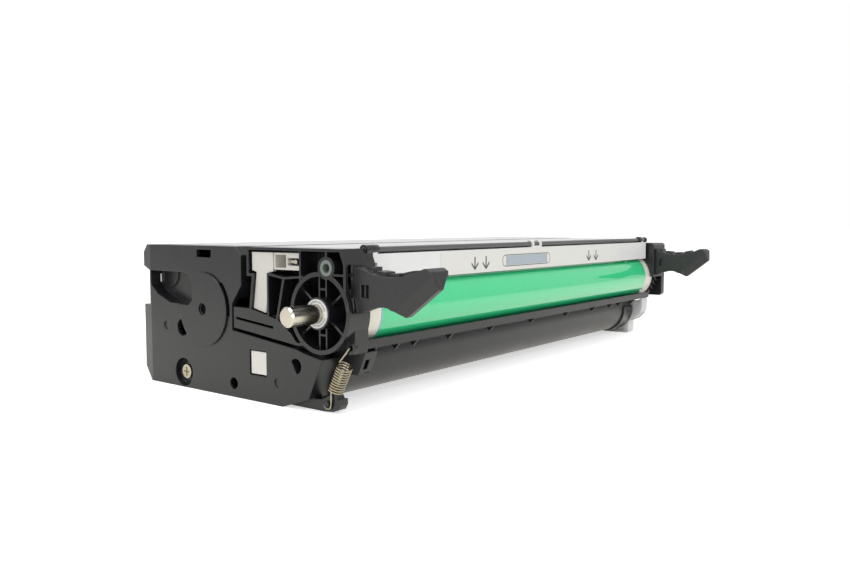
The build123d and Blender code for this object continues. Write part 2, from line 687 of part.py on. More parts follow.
def near_cover_outline():
    outline = shape(
        (51.0, TOP), (COVER_FRONT, TOP - 3.7), (COVER_FRONT, 9.0), (53.8, 0.6), (53.8, -11.0),
        (14.0, -15.6), (9.0, -16.9), (0.0, -18.6), (-1.5, -18.6), (6.5, -35.5), (14.0, -38.1), (22.0, BOTTOM),
        (REAR - 6.5, BOTTOM), (REAR, BOTTOM + 6.6), (REAR, SLOT_FLOOR), (115.5, SLOT_FLOOR), *POCKET,
        (REAR, SLOT_TOP + 2.0), (REAR, TOP - 3.8), (REAR - 4.0, TOP),
    )
    return outline


def cover_shell(outline, start, end, face_low):
    """A cap: a face plate with a rim all round that reaches back to the shell."""
    wall = outline - inset(outline, 1.5)
    if face_low:
        return slab(outline, start, start + 2.2) + slab(wall, start, end)
    return slab(outline, end - 2.2, end) + slab(wall, start, end)


def near_end_cover():
    outline = near_cover_outline()
    solid = cover_shell(outline, 0.0, TUB_START, True)
    solid += rear_pocket_walls()
    solid += slab(disc(8.2, COVER_SCREW) & outline, 0.0, TUB_START)
    solid += slab(disc(6.0, PIVOT), 0.0, ARM_START - SIDE_GAP)
    solid += slab(disc(4.6, DEV), 2.2, TUB_START) + slab(post_outline(), 4.2, 8.4)
    solid += slab(disc(1.3, POST_AT), 2.4, 4.2)
    solid -= slab(disc(6.6, COVER_SCREW), -1.0, 3.2)
    solid -= slab(disc(1.6, COVER_SCREW), 0.0, TUB_START)
    solid -= slab(block(45.0, 58.5, -12.4, 3.0), 2.2 + SIDE_GAP, TUB_START + 1.0)
    solid -= slab(block(67.8, 78.2, 20.5, 24.0), -1.0, 3.0)
    solid -= slab(block(WINDOW[0] - 0.6, WINDOW[1] + 0.6, WINDOW[2] - 0.6, WINDOW[3] + 0.6), -1.0, 3.0)
    solid -= slab(disc(4.0, (89.8, -12.5)), -1.0, 3.0)
    solid -= slab(disc(2.6, (53.2, -34.5)), -1.0, 3.0)
    solid -= slab(disc(3.2, DEV) & strip((9.8, -20.6), (14.8, -23.6), 20.0), -1.0, 5.0)
    for at in ((102.5, -12.5), (25.0, -31.0)):
        solid -= slab(disc(2.0, at), -1.0, 0.6)
    crescent = ring(DISC_R + 1.4, DISC_R - 2.0, PIVOT) & block(55.0, 92.0, -5.0, 9.5)
    solid -= slab(crescent, -1.0, 1.2)
    solid -= slab(disc(PIN_R, PIVOT), 0.0, ARM_START)
    solid -= slab(disc(ROLLER_SHAFT_R + RUNNING, DEV), 6.0, TUB_START)
    solid -= rear_chamfer()
    return solid


def rear_pocket_walls():
    """The pocket round the tube's end: its back wall, its rear wall with a slit, and the tube's rim."""
    back = slab(block(80.0, 115.5, -2.6, SLOT_TOP + 1.0), POCKET_BACK, POCKET_BACK + 1.4)
    rear = slab(block(114.3, 115.5, 6.0, SLOT_TOP + 0.8), 0.0, POCKET_BACK + 1.4)
    rear -= slab(block(114.0, 116.0, 7.4, 11.4), POCKET_BACK - 1.0, POCKET_BACK)
    rim = ring(6.5, 5.6, (107.2, 11.7)) & block(90.0, 114.8, -2.0, SLOT_TOP + 0.6)
    return back + rear + slab(rim, POCKET_BACK - 0.7, POCKET_BACK)


def rear_chamfer():
    """The wedge that eases the cover's rear upright edge."""
    corner = Plane.XY.offset(BOTTOM - 1.0) * Polygon(
        (NEAR_FACE - 1.0, REAR_FACE), (NEAR_FACE, REAR_FACE), (NEAR_FACE + REAR_CHAMFER, REAR + 1.0),
        (NEAR_FACE - 1.0, REAR + 1.0), align=None,
    )
    return extrude(corner, amount=TOP - BOTTOM + 2.0)


def post_outline():
    """The hook that holds the spring's lower leg."""
    return shape(
        (20.9, -40.4), (1.9, -40.4), (-3.2, -40.0), (-6.2, -38.9), (-7.5, -36.9), (-7.4, -34.3), (-5.8, -34.7),
        (-4.6, -32.6), (-1.0, -33.4), (3.0, -35.6), (16.0, -36.4),
    )


def pivot_disc():
    """The round plate over the hinge pin, with a hole on the pin's axis, cut back at the pocket."""
    return slab(ring(DISC_R, PIN_R + 0.25, PIVOT) - shape(*POCKET), -DISC_THICK, 0.0)


def hinge_pin(start, end):
    return slab(disc(PIN_R, PIVOT), start, end)


def level_window():
    return slab(block(*WINDOW), 0.5, TUB_START)


def gear_cover():
    """The pale cover over the gears at the drive end."""
    gear_tip = MODULE * (DRUM_TEETH / 2 + 1)
    outline = shape(
        (-9.2, -15.4), (-9.2, -23.0), (-7.9, -26.8), (-4.4, -30.3), (0.3, -32.4), (0.4, -39.0), (1.8, BOTTOM),
        (41.5, BOTTOM), (41.5, -12.6), (24.0, -12.6), (8.0, -12.6), (0.0, -12.6),
    ) - disc(gear_tip + 2.0)
    wall = (outline - inset(outline, 1.5)) - block(-8.0, 41.6, -39.1, -5.0)
    inner = outline & block(-9.2, DEV[0] - 9.0, BOTTOM, -12.6)
    solid = slab(outline, FAR_COVER_END - 2.0, FAR_COVER_END) + slab(wall, TUB_END, FAR_COVER_END)
    solid += slab(block(0.4, 2.6, BOTTOM + 1.0, -31.8), TUB_END, FAR_COVER_END)
    solid += slab(inner, TUB_END, TUB_END + 1.4)
    solid -= slab(disc(4.2, DEV), FAR_COVER_END - 3.0, FAR_COVER_END + 1.0)
    return solid


def far_end_cover():
    outline = shape(
        (51.0, TOP), (COVER_FRONT, TOP - 3.7), (COVER_FRONT, -3.0), (42.0, -8.0), (42.0, BOTTOM),
        (REAR - 6.5, BOTTOM), (REAR, BOTTOM + 6.6), (REAR, SLOT_FLOOR), (REAR - 5.0, SLOT_FLOOR),
        (90.0, SLOT_FLOOR), (86.0, 0.5), (86.0, 9.3), (90.0, SLOT_TOP), (REAR - 5.0, SLOT_TOP),
        (REAR, SLOT_TOP + 4.0), (REAR, TOP - 3.8), (REAR - 4.0, TOP),
    )
    solid = cover_shell(outline, TUB_END, FAR_COVER_END, False)
    solid -= slab(block(41.0, 44.0, BOTTOM + 1.5, -6.0), TUB_END - 1.0, FAR_COVER_END - 2.2)
    solid += slab(disc(4.5, PIVOT), FAR_COVER_END - 4.0, FAR_ARM_START - 0.3)
    solid -= slab(disc(PIN_R, PIVOT), FAR_COVER_END - 3.0, FAR_ARM_START)
    return solid


# Rollers, stirrers and gears in the toner unit

def developer_roller():
    return slab(ring(DEV_R, ROLLER_SHAFT_R, DEV), ROLLER_START, ROLLER_END)


def roller_shaft(at, start, end):
    return slab(disc(ROLLER_SHAFT_R, at), start, end)


def developer_shaft():
    return roller_shaft(DEV, 6.4, LOWER_GEAR_END + 0.6)


def feed_roller():
    return slab(ring(FEED_R, ROLLER_SHAFT_R, FEED), ROLLER_START + 2.0, ROLLER_END - 2.0)


def feed_shaft():
    return roller_shaft(FEED, TUB_START + 0.4, LOWER_GEAR_END + 0.6)


def stirrer(at, turn):
    """A moulded stirrer: a square bar with journals and two rows of cranked arms."""
    bar = Pos(at[0], at[1]) * Rot(0, 0, turn) * Rectangle(5.0, 5.0)
    solid = slab(bar, TUB_START + WALL + 0.6, TUB_END - WALL - 0.6)
    solid += slab(disc(PIN_R, at), TUB_START + 0.4, LOWER_GEAR_END + 0.6)
    arm = Pos(at[0], at[1]) * Rot(0, 0, turn) * (Pos(STIR_R / 2, 0) * Rectangle(STIR_R - 1.0, 1.6))
    for depth in range(30, 290, 32):
        solid += slab(arm, depth, depth + 4.0)
    return solid


def stirrer_film(at, turn):
    """The flexible film that wipes toner off the floor."""
    sheet = Pos(at[0], at[1]) * Rot(0, 0, turn) * (Pos(-STIR_R / 2 - 1.2, 0) * Rectangle(STIR_R - 2.8, 0.3))
    return slab(sheet, ROLLER_START, ROLLER_END)


def pan_screw(at, seat, shank):
    """A pan-head screw that faces the near end, with a cross recess."""
    cross = strip((at[0] - 2.0, at[1]), (at[0] + 2.0, at[1]), 0.8) + strip((at[0], at[1] - 2.0), (at[0], at[1] + 2.0), 0.8)
    head = slab(disc(3.3, at), seat - 1.8, seat) - slab(cross, seat - 1.8, seat - 0.8)
    return head + slab(disc(1.5, at), seat, seat + shank)


# The spring that pulls the two units together

def near_spring():
    """A close-wound tension spring with a leg to the eye above and a leg hooked round the peg below."""
    x = NEAR_FACE + SPRING_DEPTH
    top = Vector(x, COIL_TOP[0], COIL_TOP[1])
    low = Vector(x, COIL_LOW[0], COIL_LOW[1])
    axis = top - low
    coil_plane = Plane(origin=low, x_dir=axis.cross(Vector(1, 0, 0)), z_dir=axis)
    wire = coil_plane * Helix(pitch=axis.length / COIL_TURNS, height=axis.length, radius=COIL_R)
    section = Plane(origin=wire @ 0, z_dir=wire % 0) * RegularPolygon(WIRE_R, WIRE_SIDES)
    coil = sweep(section, path=wire, is_frenet=True)
    eye = Vector(x, EYE_AT[0], EYE_AT[1])
    legs = [leg(wire @ 1, eye), leg(eye, eye + Vector(2.6, 0, 0))]
    last = wire @ 0
    for y, z in ((-1.9, 0.3), (-1.3, -1.75), (0.9, -1.9), (2.0, -0.6)):
        bend = Vector(x, POST_AT[0] + y, POST_AT[1] + z)
        legs.append(leg(last, bend))
        last = bend
    return Compound([coil.solid()] + legs)


def leg(start, end):
    line = Line(start, end)
    section = Plane(origin=line @ 0, z_dir=line % 0) * RegularPolygon(WIRE_R, WIRE_SIDES)
    return sweep(section, path=line).solid()


def parts():
    """Every piece of the cartridge by name."""
    return {
        "toner_tub": toner_tub(),
        "tub_lid": tub_lid(),
        "top_cover": top_cover(),
        "slot_roof": slot_roof(),
        "near_end_cover": near_end_cover(),
        "pivot_disc": pivot_disc(),
        "near_hinge_pin": hinge_pin(1.0, ARM_END + 0.5),
        "far_hinge_pin": hinge_pin(FAR_COVER_END - 3.0, FAR_ARM_END + 1.0),
        "level_window": level_window(),
        "gear_cover": gear_cover(),
        "far_end_cover": far_end_cover(),
        "doctor_bracket": doctor_bracket(),
        "doctor_blade": doctor_blade(),
        "near_cover_screw": pan_screw(COVER_SCREW, 3.2, 7.0),
        "near_spring": near_spring(),
        "developer_roller": developer_roller(),
        "developer_shaft": developer_shaft(),
        "developer_gear": gear(DEV_TEETH, DEV_PHASE, DEV, LOWER_GEAR_START, LOWER_GEAR_END, ROLLER_SHAFT_R),
        "feed_roller": feed_roller(),
        "feed_shaft": feed_shaft(),
        "feed_gear": gear(FEED_TEETH, FEED_PHASE, FEED, LOWER_GEAR_START, LOWER_GEAR_END, ROLLER_SHAFT_R),
        "front_stirrer": stirrer(STIR_FRONT, 60.0),
        "front_stirrer_film": stirrer_film(STIR_FRONT, 60.0),
        "front_stirrer_gear": gear(
            STIR_TEETH, STIR_FRONT_PHASE, STIR_FRONT, LOWER_GEAR_START, LOWER_GEAR_END, PIN_R
        ),
        "rear_stirrer": stirrer(STIR_REAR, 150.0),
        "rear_stirrer_film": stirrer_film(STIR_REAR, 150.0),
        "rear_stirrer_gear": gear(
            STIR_TEETH, STIR_REAR_PHASE, STIR_REAR, LOWER_GEAR_START, LOWER_GEAR_END, PIN_R
        ),
        "drum_frame": drum_frame(),
        "near_frame": near_frame(),
        "far_frame": far_frame(),
        "near_handle": near_handle(),
        "far_handle": far_handle(),
        "drum_shaft": drum_shaft(),
        "shaft_bush": shaft_bush(),
        "locating_bush": locating_bush(),
        "terminal_plate": terminal_plate(),
        "contact_block": contact_block(),
        "contact_rod": contact_rod(),
        "guide_rod": guide_rod(),
        "guide_plate": guide_plate(),
        "blade_bracket": blade_bracket(),
        "cleaning_blade": cleaning_blade(),
        "near_charge_bearing": charge_bearing(NEAR_BRACKET_DEPTH, NEAR_BRACKET_DEPTH + 4.0),
        "far_charge_bearing": charge_bearing(FRAME_END - 4.0, FRAME_END),
        "charge_core": charge_core(),
        "charge_sleeve": charge_sleeve(),
        "waste_auger": waste_auger(),
        "auger_gear": gear(AUGER_TEETH, AUGER_PHASE, AUGER, SPUR_START, SPUR_END, ROLLER_SHAFT_R - 1.0),
        "idler_gear": gear(IDLER_TEETH, IDLER_PHASE, IDLER, SPUR_START, SPUR_END, PIN_R + RUNNING),
        "drum_tube": drum_tube(),
        "near_flange": near_flange(),
        "far_flange": far_flange(),
        "drum_gear": drum_gear(),
    }


def main():
    os.makedirs("parts", exist_ok=True)
    for name, piece in parts().items():
        export_step(piece, os.path.join("parts", name + ".step"))


main()
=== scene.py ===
"""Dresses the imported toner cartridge: its finishes, its grips, its label, and the studio."""

import math

import bmesh
import bpy
from mathutils import Euler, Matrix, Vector


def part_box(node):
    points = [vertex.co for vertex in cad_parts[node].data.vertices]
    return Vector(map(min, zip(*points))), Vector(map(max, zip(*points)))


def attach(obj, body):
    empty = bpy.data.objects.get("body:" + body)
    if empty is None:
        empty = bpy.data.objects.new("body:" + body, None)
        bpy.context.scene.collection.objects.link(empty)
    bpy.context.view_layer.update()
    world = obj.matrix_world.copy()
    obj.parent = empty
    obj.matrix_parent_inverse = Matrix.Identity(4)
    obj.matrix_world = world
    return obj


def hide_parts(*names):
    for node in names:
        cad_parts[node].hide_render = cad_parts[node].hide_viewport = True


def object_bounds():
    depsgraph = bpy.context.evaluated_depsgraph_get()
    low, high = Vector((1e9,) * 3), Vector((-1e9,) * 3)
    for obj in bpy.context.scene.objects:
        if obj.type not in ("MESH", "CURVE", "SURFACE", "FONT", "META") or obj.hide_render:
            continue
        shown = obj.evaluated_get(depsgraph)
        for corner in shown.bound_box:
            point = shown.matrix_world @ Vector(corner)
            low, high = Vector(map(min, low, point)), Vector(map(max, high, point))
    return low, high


bl_info = {
    "name": "Toner Cartridge",
    "version": (1, 0, 0),
    "blender": (4, 5, 0),
    "location": "View3D > Sidebar > Cartridge",
    "description": "Finishes the packed toner cartridge and sets it in a plain studio",
    "category": "Object",
}

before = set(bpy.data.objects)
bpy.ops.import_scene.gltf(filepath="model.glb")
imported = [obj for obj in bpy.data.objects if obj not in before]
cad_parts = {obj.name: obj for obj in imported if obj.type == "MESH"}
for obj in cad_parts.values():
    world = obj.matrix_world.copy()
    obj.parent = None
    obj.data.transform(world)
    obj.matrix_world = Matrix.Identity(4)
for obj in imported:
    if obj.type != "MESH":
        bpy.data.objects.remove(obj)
CAD_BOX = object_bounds()

MM = 0.001
TOUCH = 0.01 * MM  # A corner this close to a plane lies on it.


# Settings

def linear(value):
    """An sRGB hex value as linear red, green and blue."""
    channels = [int(value[i : i + 2], 16) / 255 for i in (1, 3, 5)]
    return [c / 12.92 if c <= 0.04045 else ((c + 0.055) / 1.055) ** 2.4 for c in channels]


def colour_property(name, value, description):
    return bpy.props.FloatVectorProperty(
        name=name, description=description, subtype="COLOR", size=3, min=0.0, max=1.0,
        default=linear(value),
    )


def length_property(name, size_mm, description):
    return bpy.props.FloatProperty(
        name=name, description=description, unit="LENGTH", default=size_mm * MM
    )


class FinishSettings(bpy.types.PropertyGroup):
    shell: colour_property("Shell", "#1d1e21", "Black polystyrene of the covers and the tub")
    handle: colour_property("Handle", "#232325", "Matt black of the two grips")
    white: colour_property("White", "#e6e6e4", "White plastic of the guide plate and the bearings")
    natural: colour_property("Natural", "#f6f6f3", "Uncoloured plastic of the gears and cover")
    window: colour_property("Window", "#ebe8df", "Warm white of the window block and the contacts")
    cream: colour_property("Cream", "#efe9da", "Cream plastic of the drum's flanges")
    drum: colour_property("Drum", "#34d78e", "Green coating of the drum")
    coat_edge: colour_property("Coat edge", "#8fb4e0", "Pale blue of the coating's thin ends")
    steel: colour_property("Steel", "#d0cabd", "Ground steel of the shafts")
    wire: colour_property("Wire", "#ada692", "Drawn wire of the spring")


class LabelSettings(bpy.types.PropertyGroup):
    start: length_property("Start", 64.5, "Where the label starts along the cartridge")
    end: length_property("End", 252.5, "Where the label ends along the cartridge")
    thickness: length_property("Thickness", 0.06, "How far the label stands off the plate")
    paper: colour_property("Paper", "#e4e3dd", "Warm white of the label")
    ink: colour_property("Ink", "#57574f", "Dark grey of the printed arrows")
    bar: colour_property("Bar", "#aeb8c0", "Blue-grey of the plain printed bar")


class GripSettings(bpy.types.PropertyGroup):
    wall: length_property("Wall", 3.2, "Thickness of the grip's upright wall")
    width: length_property("Width", 9.0, "Width of the finger rest along the cartridge")
    setback: length_property("Setback", 1.2, "How far the lower edge leans away from the near end")
    flare: length_property("Flare", 1.6, "How much wider the tip is than the finger rest")
    edge: length_property("Edge", 0.22, "Radius of the moulded edges")


class StageSettings(bpy.types.PropertyGroup):
    lens: bpy.props.FloatProperty(
        name="Lens", description="The camera's focal length in millimetres",
        subtype="DISTANCE_CAMERA", default=33.44,
    )
    world: bpy.props.FloatProperty(
        name="Surround", description="How brightly the white surround lights the cartridge",
        subtype="FACTOR", default=0.85,
    )
    key: bpy.props.FloatProperty(
        name="Key light", description="Power of the large soft light above",
        unit="POWER", default=3.0,
    )
    sheen: bpy.props.FloatProperty(
        name="Sheen lights", description="Power of the panels that only show in reflections",
        unit="POWER", default=9.0,
    )


# Materials

BLEND = {"data_type": "RGBA"}
# The Mix node's colours share their names with its other sockets, so they go by number.
FIRST, SECOND, BLENDED = 6, 7, 2

# How tool lines run: round a shaft along X, along a strip, or every way alike.
ROUND_SHAFT = (1.0, 0.02, 0.02)
ALONG_STRIP = (0.03, 1.0, 1.0)
EVERY_WAY = (1.0, 1.0, 1.0)


def shade(colour, factor=1.0, lift=0.0):
    """A darker or lighter colour, as a node's socket takes it."""
    return (*(min(1.0, c * factor + lift) for c in colour[:3]), 1.0)


def per_metre(size_mm):
    """The texture scale at which a pattern repeats once in a size given in millimetres."""
    return 1.0 / (size_mm * MM)


def add(tree, kind, settings=None, inputs=None):
    """Adds a node with its settings and links.

    An input is a value, another node, whose first output is linked, or one of its outputs.
    """
    made = tree.nodes.new(kind)
    for name, value in (settings or {}).items():
        setattr(made, name, value)
    for name, value in (inputs or {}).items():
        if isinstance(value, bpy.types.Node):
            value = value.outputs[0]
        if isinstance(value, bpy.types.NodeSocket):
            tree.links.new(value, made.inputs[name])
        else:
            made.inputs[name].default_value = value
    return made


def new_material(name):
    """An empty material with its tree and the object's own coordinates."""
    material = bpy.data.materials.new(name)
    material.use_nodes = True
    tree = material.node_tree
    tree.nodes.clear()
    place = add(tree, "ShaderNodeTexCoord").outputs["Object"]
    return material, tree, place


def close_tree(tree, inputs):
    """Ends a material's tree with its surface shader."""
    surface = add(tree, "ShaderNodeBsdfPrincipled", None, inputs)
    add(tree, "ShaderNodeOutputMaterial", None, {"Surface": surface})


def patches(
    tree, place, size_mm, detail=3.0, crispness=0.5, low=0.3, high=0.7, to_low=0.0, to_high=1.0
):
    """Soft random patches of a real size, their range from low to high stretched and clamped."""
    noise = add(
        tree, "ShaderNodeTexNoise", None,
        {"Vector": place, "Scale": per_metre(size_mm), "Detail": detail, "Roughness": crispness},
    )
    return add(
        tree, "ShaderNodeMapRange", None,
        {"Value": noise, "From Min": low, "From Max": high, "To Min": to_low, "To Max": to_high},
    )


def edge_mask(tree, eased):
    """White along the edges, where the eased normal leaves the face's own."""
    flat = add(tree, "ShaderNodeNewGeometry").outputs["Normal"]
    dot = add(tree, "ShaderNodeVectorMath", {"operation": "DOT_PRODUCT"}, {0: eased, 1: flat})
    return add(
        tree, "ShaderNodeMapRange", None,
        {"Value": dot.outputs["Value"], "From Min": 0.995, "From Max": 0.8},
    )


def moulded(
    name, colour, roughness, grain_mm=0.5, grain_depth_mm=0.004, wear_and_edge_highlight=0.0, scatter=0.0,
    easing_mm=0.35,
):
    """Moulded plastic: a fine tool texture, faint flow marks, eased edges, and edges lightened
    partly where worn and partly as a painted highlight.
    """
    material, tree, place = new_material(name)
    eased = add(tree, "ShaderNodeBevel", {"samples": 4}, {"Radius": easing_mm * MM})
    flow = patches(tree, place, 38.0, detail=4.0)
    body = add(
        tree, "ShaderNodeMix", BLEND,
        {"Factor": flow, FIRST: shade(colour, 0.92), SECOND: shade(colour, 1.08)},
    )
    specks = patches(tree, place, 0.9, detail=2.0, low=0.66, high=0.8, to_high=0.25)
    body = add(
        tree, "ShaderNodeMix", BLEND,
        {"Factor": specks, FIRST: body.outputs[BLENDED], SECOND: shade(colour, 1.35)},
    )
    # The edges lighten where they are worn, and also as a painted highlight along them.
    rubbed_and_highlit = patches(tree, place, 3.5, detail=4.0, low=0.35, high=0.6, to_high=wear_and_edge_highlight)
    edge = add(
        tree, "ShaderNodeMath", {"operation": "MULTIPLY"}, {0: edge_mask(tree, eased), 1: rubbed_and_highlit}
    )
    body = add(
        tree, "ShaderNodeMix", BLEND,
        {"Factor": edge, FIRST: body.outputs[BLENDED], SECOND: shade(colour, 2.2, lift=0.03)},
    )
    smudge = patches(
        tree, place, 22.0, detail=5.0, crispness=0.6,
        to_low=-0.15 * roughness, to_high=0.18 * roughness,
    )
    rough = add(tree, "ShaderNodeMath", {"operation": "ADD"}, {0: smudge, 1: roughness})
    grain = add(
        tree, "ShaderNodeTexNoise", None,
        {"Vector": place, "Scale": per_metre(grain_mm), "Detail": 2.0, "Roughness": 0.6},
    )
    bump = add(
        tree, "ShaderNodeBump", None,
        {"Strength": 0.6, "Distance": grain_depth_mm * MM, "Height": grain, "Normal": eased},
    )
    close_tree(tree, {
        "Base Color": body.outputs[BLENDED],
        "Roughness": rough,
        "Normal": bump,
        "IOR": 1.54,
        "Subsurface Weight": scatter,
        "Subsurface Radius": (1.0, 1.0, 1.0),
        "Subsurface Scale": 4.0 * MM,
    })
    return material


def tooled_metal(name, colour, roughness, line_mm, depth_mm, lines_run=EVERY_WAY):
    """Metal with the fine lines or grain that its tool leaves, and faint stains."""
    material, tree, place = new_material(name)
    mapped = add(tree, "ShaderNodeMapping", None, {"Vector": place, "Scale": lines_run})
    lines = add(
        tree, "ShaderNodeTexNoise", None,
        {"Vector": mapped, "Scale": per_metre(line_mm), "Detail": 3.0, "Roughness": 0.7},
    )
    stain = patches(tree, place, 9.0, low=0.35)
    body = add(
        tree, "ShaderNodeMix", BLEND,
        {"Factor": stain, FIRST: shade(colour), SECOND: shade(colour, 0.88)},
    )
    rough = add(
        tree, "ShaderNodeMapRange", None,
        {"Value": lines, "From Min": 0.3, "From Max": 0.7,
         "To Min": roughness - 0.02, "To Max": roughness + 0.04},
    )
    bump = add(
        tree, "ShaderNodeBump", None,
        {"Strength": 0.3, "Distance": depth_mm * MM, "Height": lines},
    )
    close_tree(tree, {
        "Base Color": body.outputs[BLENDED],
        "Metallic": 1.0,
        "Roughness": rough,
        "Normal": bump,
    })
    return material


def drum_coating(colour, edge):
    """Photoconductor on ground aluminium: a clear, hard gloss over green, thin at its ends."""
    material, tree, place = new_material("photoconductor_coating")
    rings = add(tree, "ShaderNodeMapping", None, {"Vector": place, "Scale": ROUND_SHAFT})
    ring = patches(tree, rings, 2.4, detail=2.0, low=0.35, high=0.65)
    body = add(
        tree, "ShaderNodeMix", BLEND,
        {"Factor": ring, FIRST: shade(colour, 0.985), SECOND: shade(colour, 1.015)},
    )
    low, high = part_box("drum_tube")
    middle, half = (low.x + high.x) / 2, (high.x - low.x) / 2
    along = add(tree, "ShaderNodeSeparateXYZ", None, {"Vector": place}).outputs["X"]
    away = add(tree, "ShaderNodeMath", {"operation": "SUBTRACT"}, {0: along, 1: middle})
    reach = add(tree, "ShaderNodeMath", {"operation": "ABSOLUTE"}, {0: away})
    thin = add(
        tree, "ShaderNodeMapRange", None,
        {"Value": reach, "From Min": half - 0.9 * MM, "From Max": half - 0.4 * MM, "To Max": 0.85},
    )
    body = add(
        tree, "ShaderNodeMix", BLEND,
        {"Factor": thin, FIRST: body.outputs[BLENDED], SECOND: shade(edge)},
    )
    close_tree(tree, {
        "Base Color": body.outputs[BLENDED],
        "Roughness": patches(tree, place, 30.0, to_low=0.10, to_high=0.14),
        "IOR": 1.6,
        "Coat Weight": 0.7,
        "Coat Roughness": 0.03,
    })
    return material


def foam(name, colour, cell_mm):
    """Open-cell foam: small pits all over, no gloss."""
    material, tree, place = new_material(name)
    cells = add(
        tree, "ShaderNodeTexVoronoi", None, {"Vector": place, "Scale": per_metre(cell_mm)}
    )
    pit = add(
        tree, "ShaderNodeMapRange", None,
        {"Value": cells.outputs["Distance"], "From Min": 0.1, "From Max": 0.6},
    )
    # The pits are painted darker than the cell walls: a painted shade in the hollows.
    body = add(
        tree, "ShaderNodeMix", BLEND,
        {"Factor": pit, FIRST: shade(colour, 0.5), SECOND: shade(colour, 1.3)},
    )
    bump = add(
        tree, "ShaderNodeBump", None, {"Strength": 0.8, "Distance": 0.2 * MM, "Height": pit}
    )
    close_tree(tree, {"Base Color": body.outputs[BLENDED], "Roughness": 0.9, "Normal": bump})
    return material


def sheet_plastic(name, colour, roughness, streak_mm, alpha=1.0):
    """Thin sheet or cast rubber: nearly even, with long faint streaks along the cartridge."""
    material, tree, place = new_material(name)
    mapped = add(tree, "ShaderNodeMapping", None, {"Vector": place, "Scale": (0.05, 1.0, 1.0)})
    streak = patches(tree, mapped, streak_mm)
    body = add(
        tree, "ShaderNodeMix", BLEND,
        {"Factor": streak, FIRST: shade(colour, 0.9), SECOND: shade(colour, 1.08)},
    )
    rough = patches(tree, place, 12.0, to_low=roughness - 0.05, to_high=roughness + 0.07)
    close_tree(tree, {"Base Color": body.outputs[BLENDED], "Roughness": rough, "Alpha": alpha})
    return material


def paper(name, colour):
    """A paper label: faint fibres and a soft satin face."""
    material, tree, place = new_material(name)
    fibre = add(
        tree, "ShaderNodeTexNoise", None,
        {"Vector": place, "Scale": per_metre(0.7), "Detail": 5.0, "Roughness": 0.7},
    )
    tone = add(
        tree, "ShaderNodeMapRange", None, {"Value": fibre, "From Min": 0.3, "From Max": 0.7}
    )
    body = add(
        tree, "ShaderNodeMix", BLEND,
        {"Factor": tone, FIRST: shade(colour, 0.97), SECOND: shade(colour, 1.02)},
    )
    bump = add(
        tree, "ShaderNodeBump", None, {"Strength": 0.2, "Distance": 0.02 * MM, "Height": fibre}
    )
    close_tree(tree, {"Base Color": body.outputs[BLENDED], "Roughness": 0.45, "Normal": bump})
    return material


def dress(material, *names):
    """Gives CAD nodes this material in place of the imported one."""
    for name in names:
        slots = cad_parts[name].data.materials
        slots.clear()
        slots.append(material)


# Modelling

def at(value, place):
    """Whether a corner's coordinate lies on the plane at a place."""
    return abs(value - place) < TOUCH


def deselect():
    """Leaves edit mode and selects nothing."""
    if bpy.context.object and bpy.context.object.mode != "OBJECT":
        bpy.ops.object.mode_set(mode="OBJECT")
    bpy.ops.object.select_all(action="DESELECT")


def choose(first, *others):
    """Selects these pieces and nothing else, with the first one active."""
    deselect()
    for piece in (first, *others):
        piece.select_set(True)
    bpy.context.view_layer.objects.active = first


def pick(mode, test):
    """Selects what passes a test at all its corners, and nothing else."""
    bpy.ops.mesh.select_mode(type=mode)
    bpy.ops.mesh.select_all(action="DESELECT")
    data = bpy.context.object.data
    mesh = bmesh.from_edit_mesh(data)
    items = {"VERT": mesh.verts, "EDGE": mesh.edges, "FACE": mesh.faces}[mode]
    for item in items:
        corners = [item] if mode == "VERT" else item.verts
        item.select_set(all(test(corner.co) for corner in corners))
    mesh.select_flush_mode()
    bmesh.update_edit_mesh(data)


def extrude(*move):
    """Extrudes what is selected and moves its new side."""
    bpy.ops.mesh.extrude_region_move(TRANSFORM_OT_translate={"value": move})


def give_thickness(*move):
    """Gives the edited sheet its thickness, with its faces turned outwards."""
    bpy.ops.mesh.select_all(action="SELECT")
    extrude(*move)
    bpy.ops.mesh.select_all(action="SELECT")
    bpy.ops.mesh.normals_make_consistent(inside=False)


def start_piece(
    name, primitive, location, rotation=(0.0, 0.0, 0.0), scale=(1.0, 1.0, 1.0), **shape
):
    """Adds a primitive, puts its place and size in its mesh, and opens it in edit mode."""
    deselect()
    primitive(location=location, rotation=rotation, **shape)
    piece = bpy.context.object
    piece.name = name
    piece.scale = scale
    bpy.ops.object.transform_apply(location=True, rotation=True, scale=True)
    bpy.ops.object.mode_set(mode="EDIT")
    return piece


def flat_piece(name, middle, width, height):
    """A rectangle in the plane of the guide plate's face, open in edit mode."""
    return start_piece(
        name, bpy.ops.mesh.primitive_plane_add, middle, rotation=(math.pi / 2, 0.0, 0.0),
        scale=(width, height, 1.0), size=1.0,
    )


def copied(piece, move, name):
    """A copy of a piece, with its own mesh, at another place."""
    choose(piece)
    bpy.ops.object.duplicate_move(TRANSFORM_OT_translate={"value": move})
    copy = bpy.context.object
    copy.name = name
    bpy.ops.object.transform_apply(location=True, rotation=True, scale=True)
    return copy


def ease_edges(piece, radius, angle=30.0):
    """Rounds the edges at which the faces turn by more than an angle in degrees."""
    choose(piece)
    edge = piece.modifiers.new("moulded_edge", "BEVEL")
    edge.width, edge.segments, edge.limit_method = radius, 2, "ANGLE"
    edge.angle_limit = math.radians(angle)
    bpy.ops.object.modifier_apply(modifier=edge.name)


def finish_piece(piece, material, body, slot):
    """Gives a piece its material and the body that it rides on. The slot of its finish is not
    used.
    """
    piece.data.materials.clear()
    piece.data.materials.append(material)
    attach(piece, body)


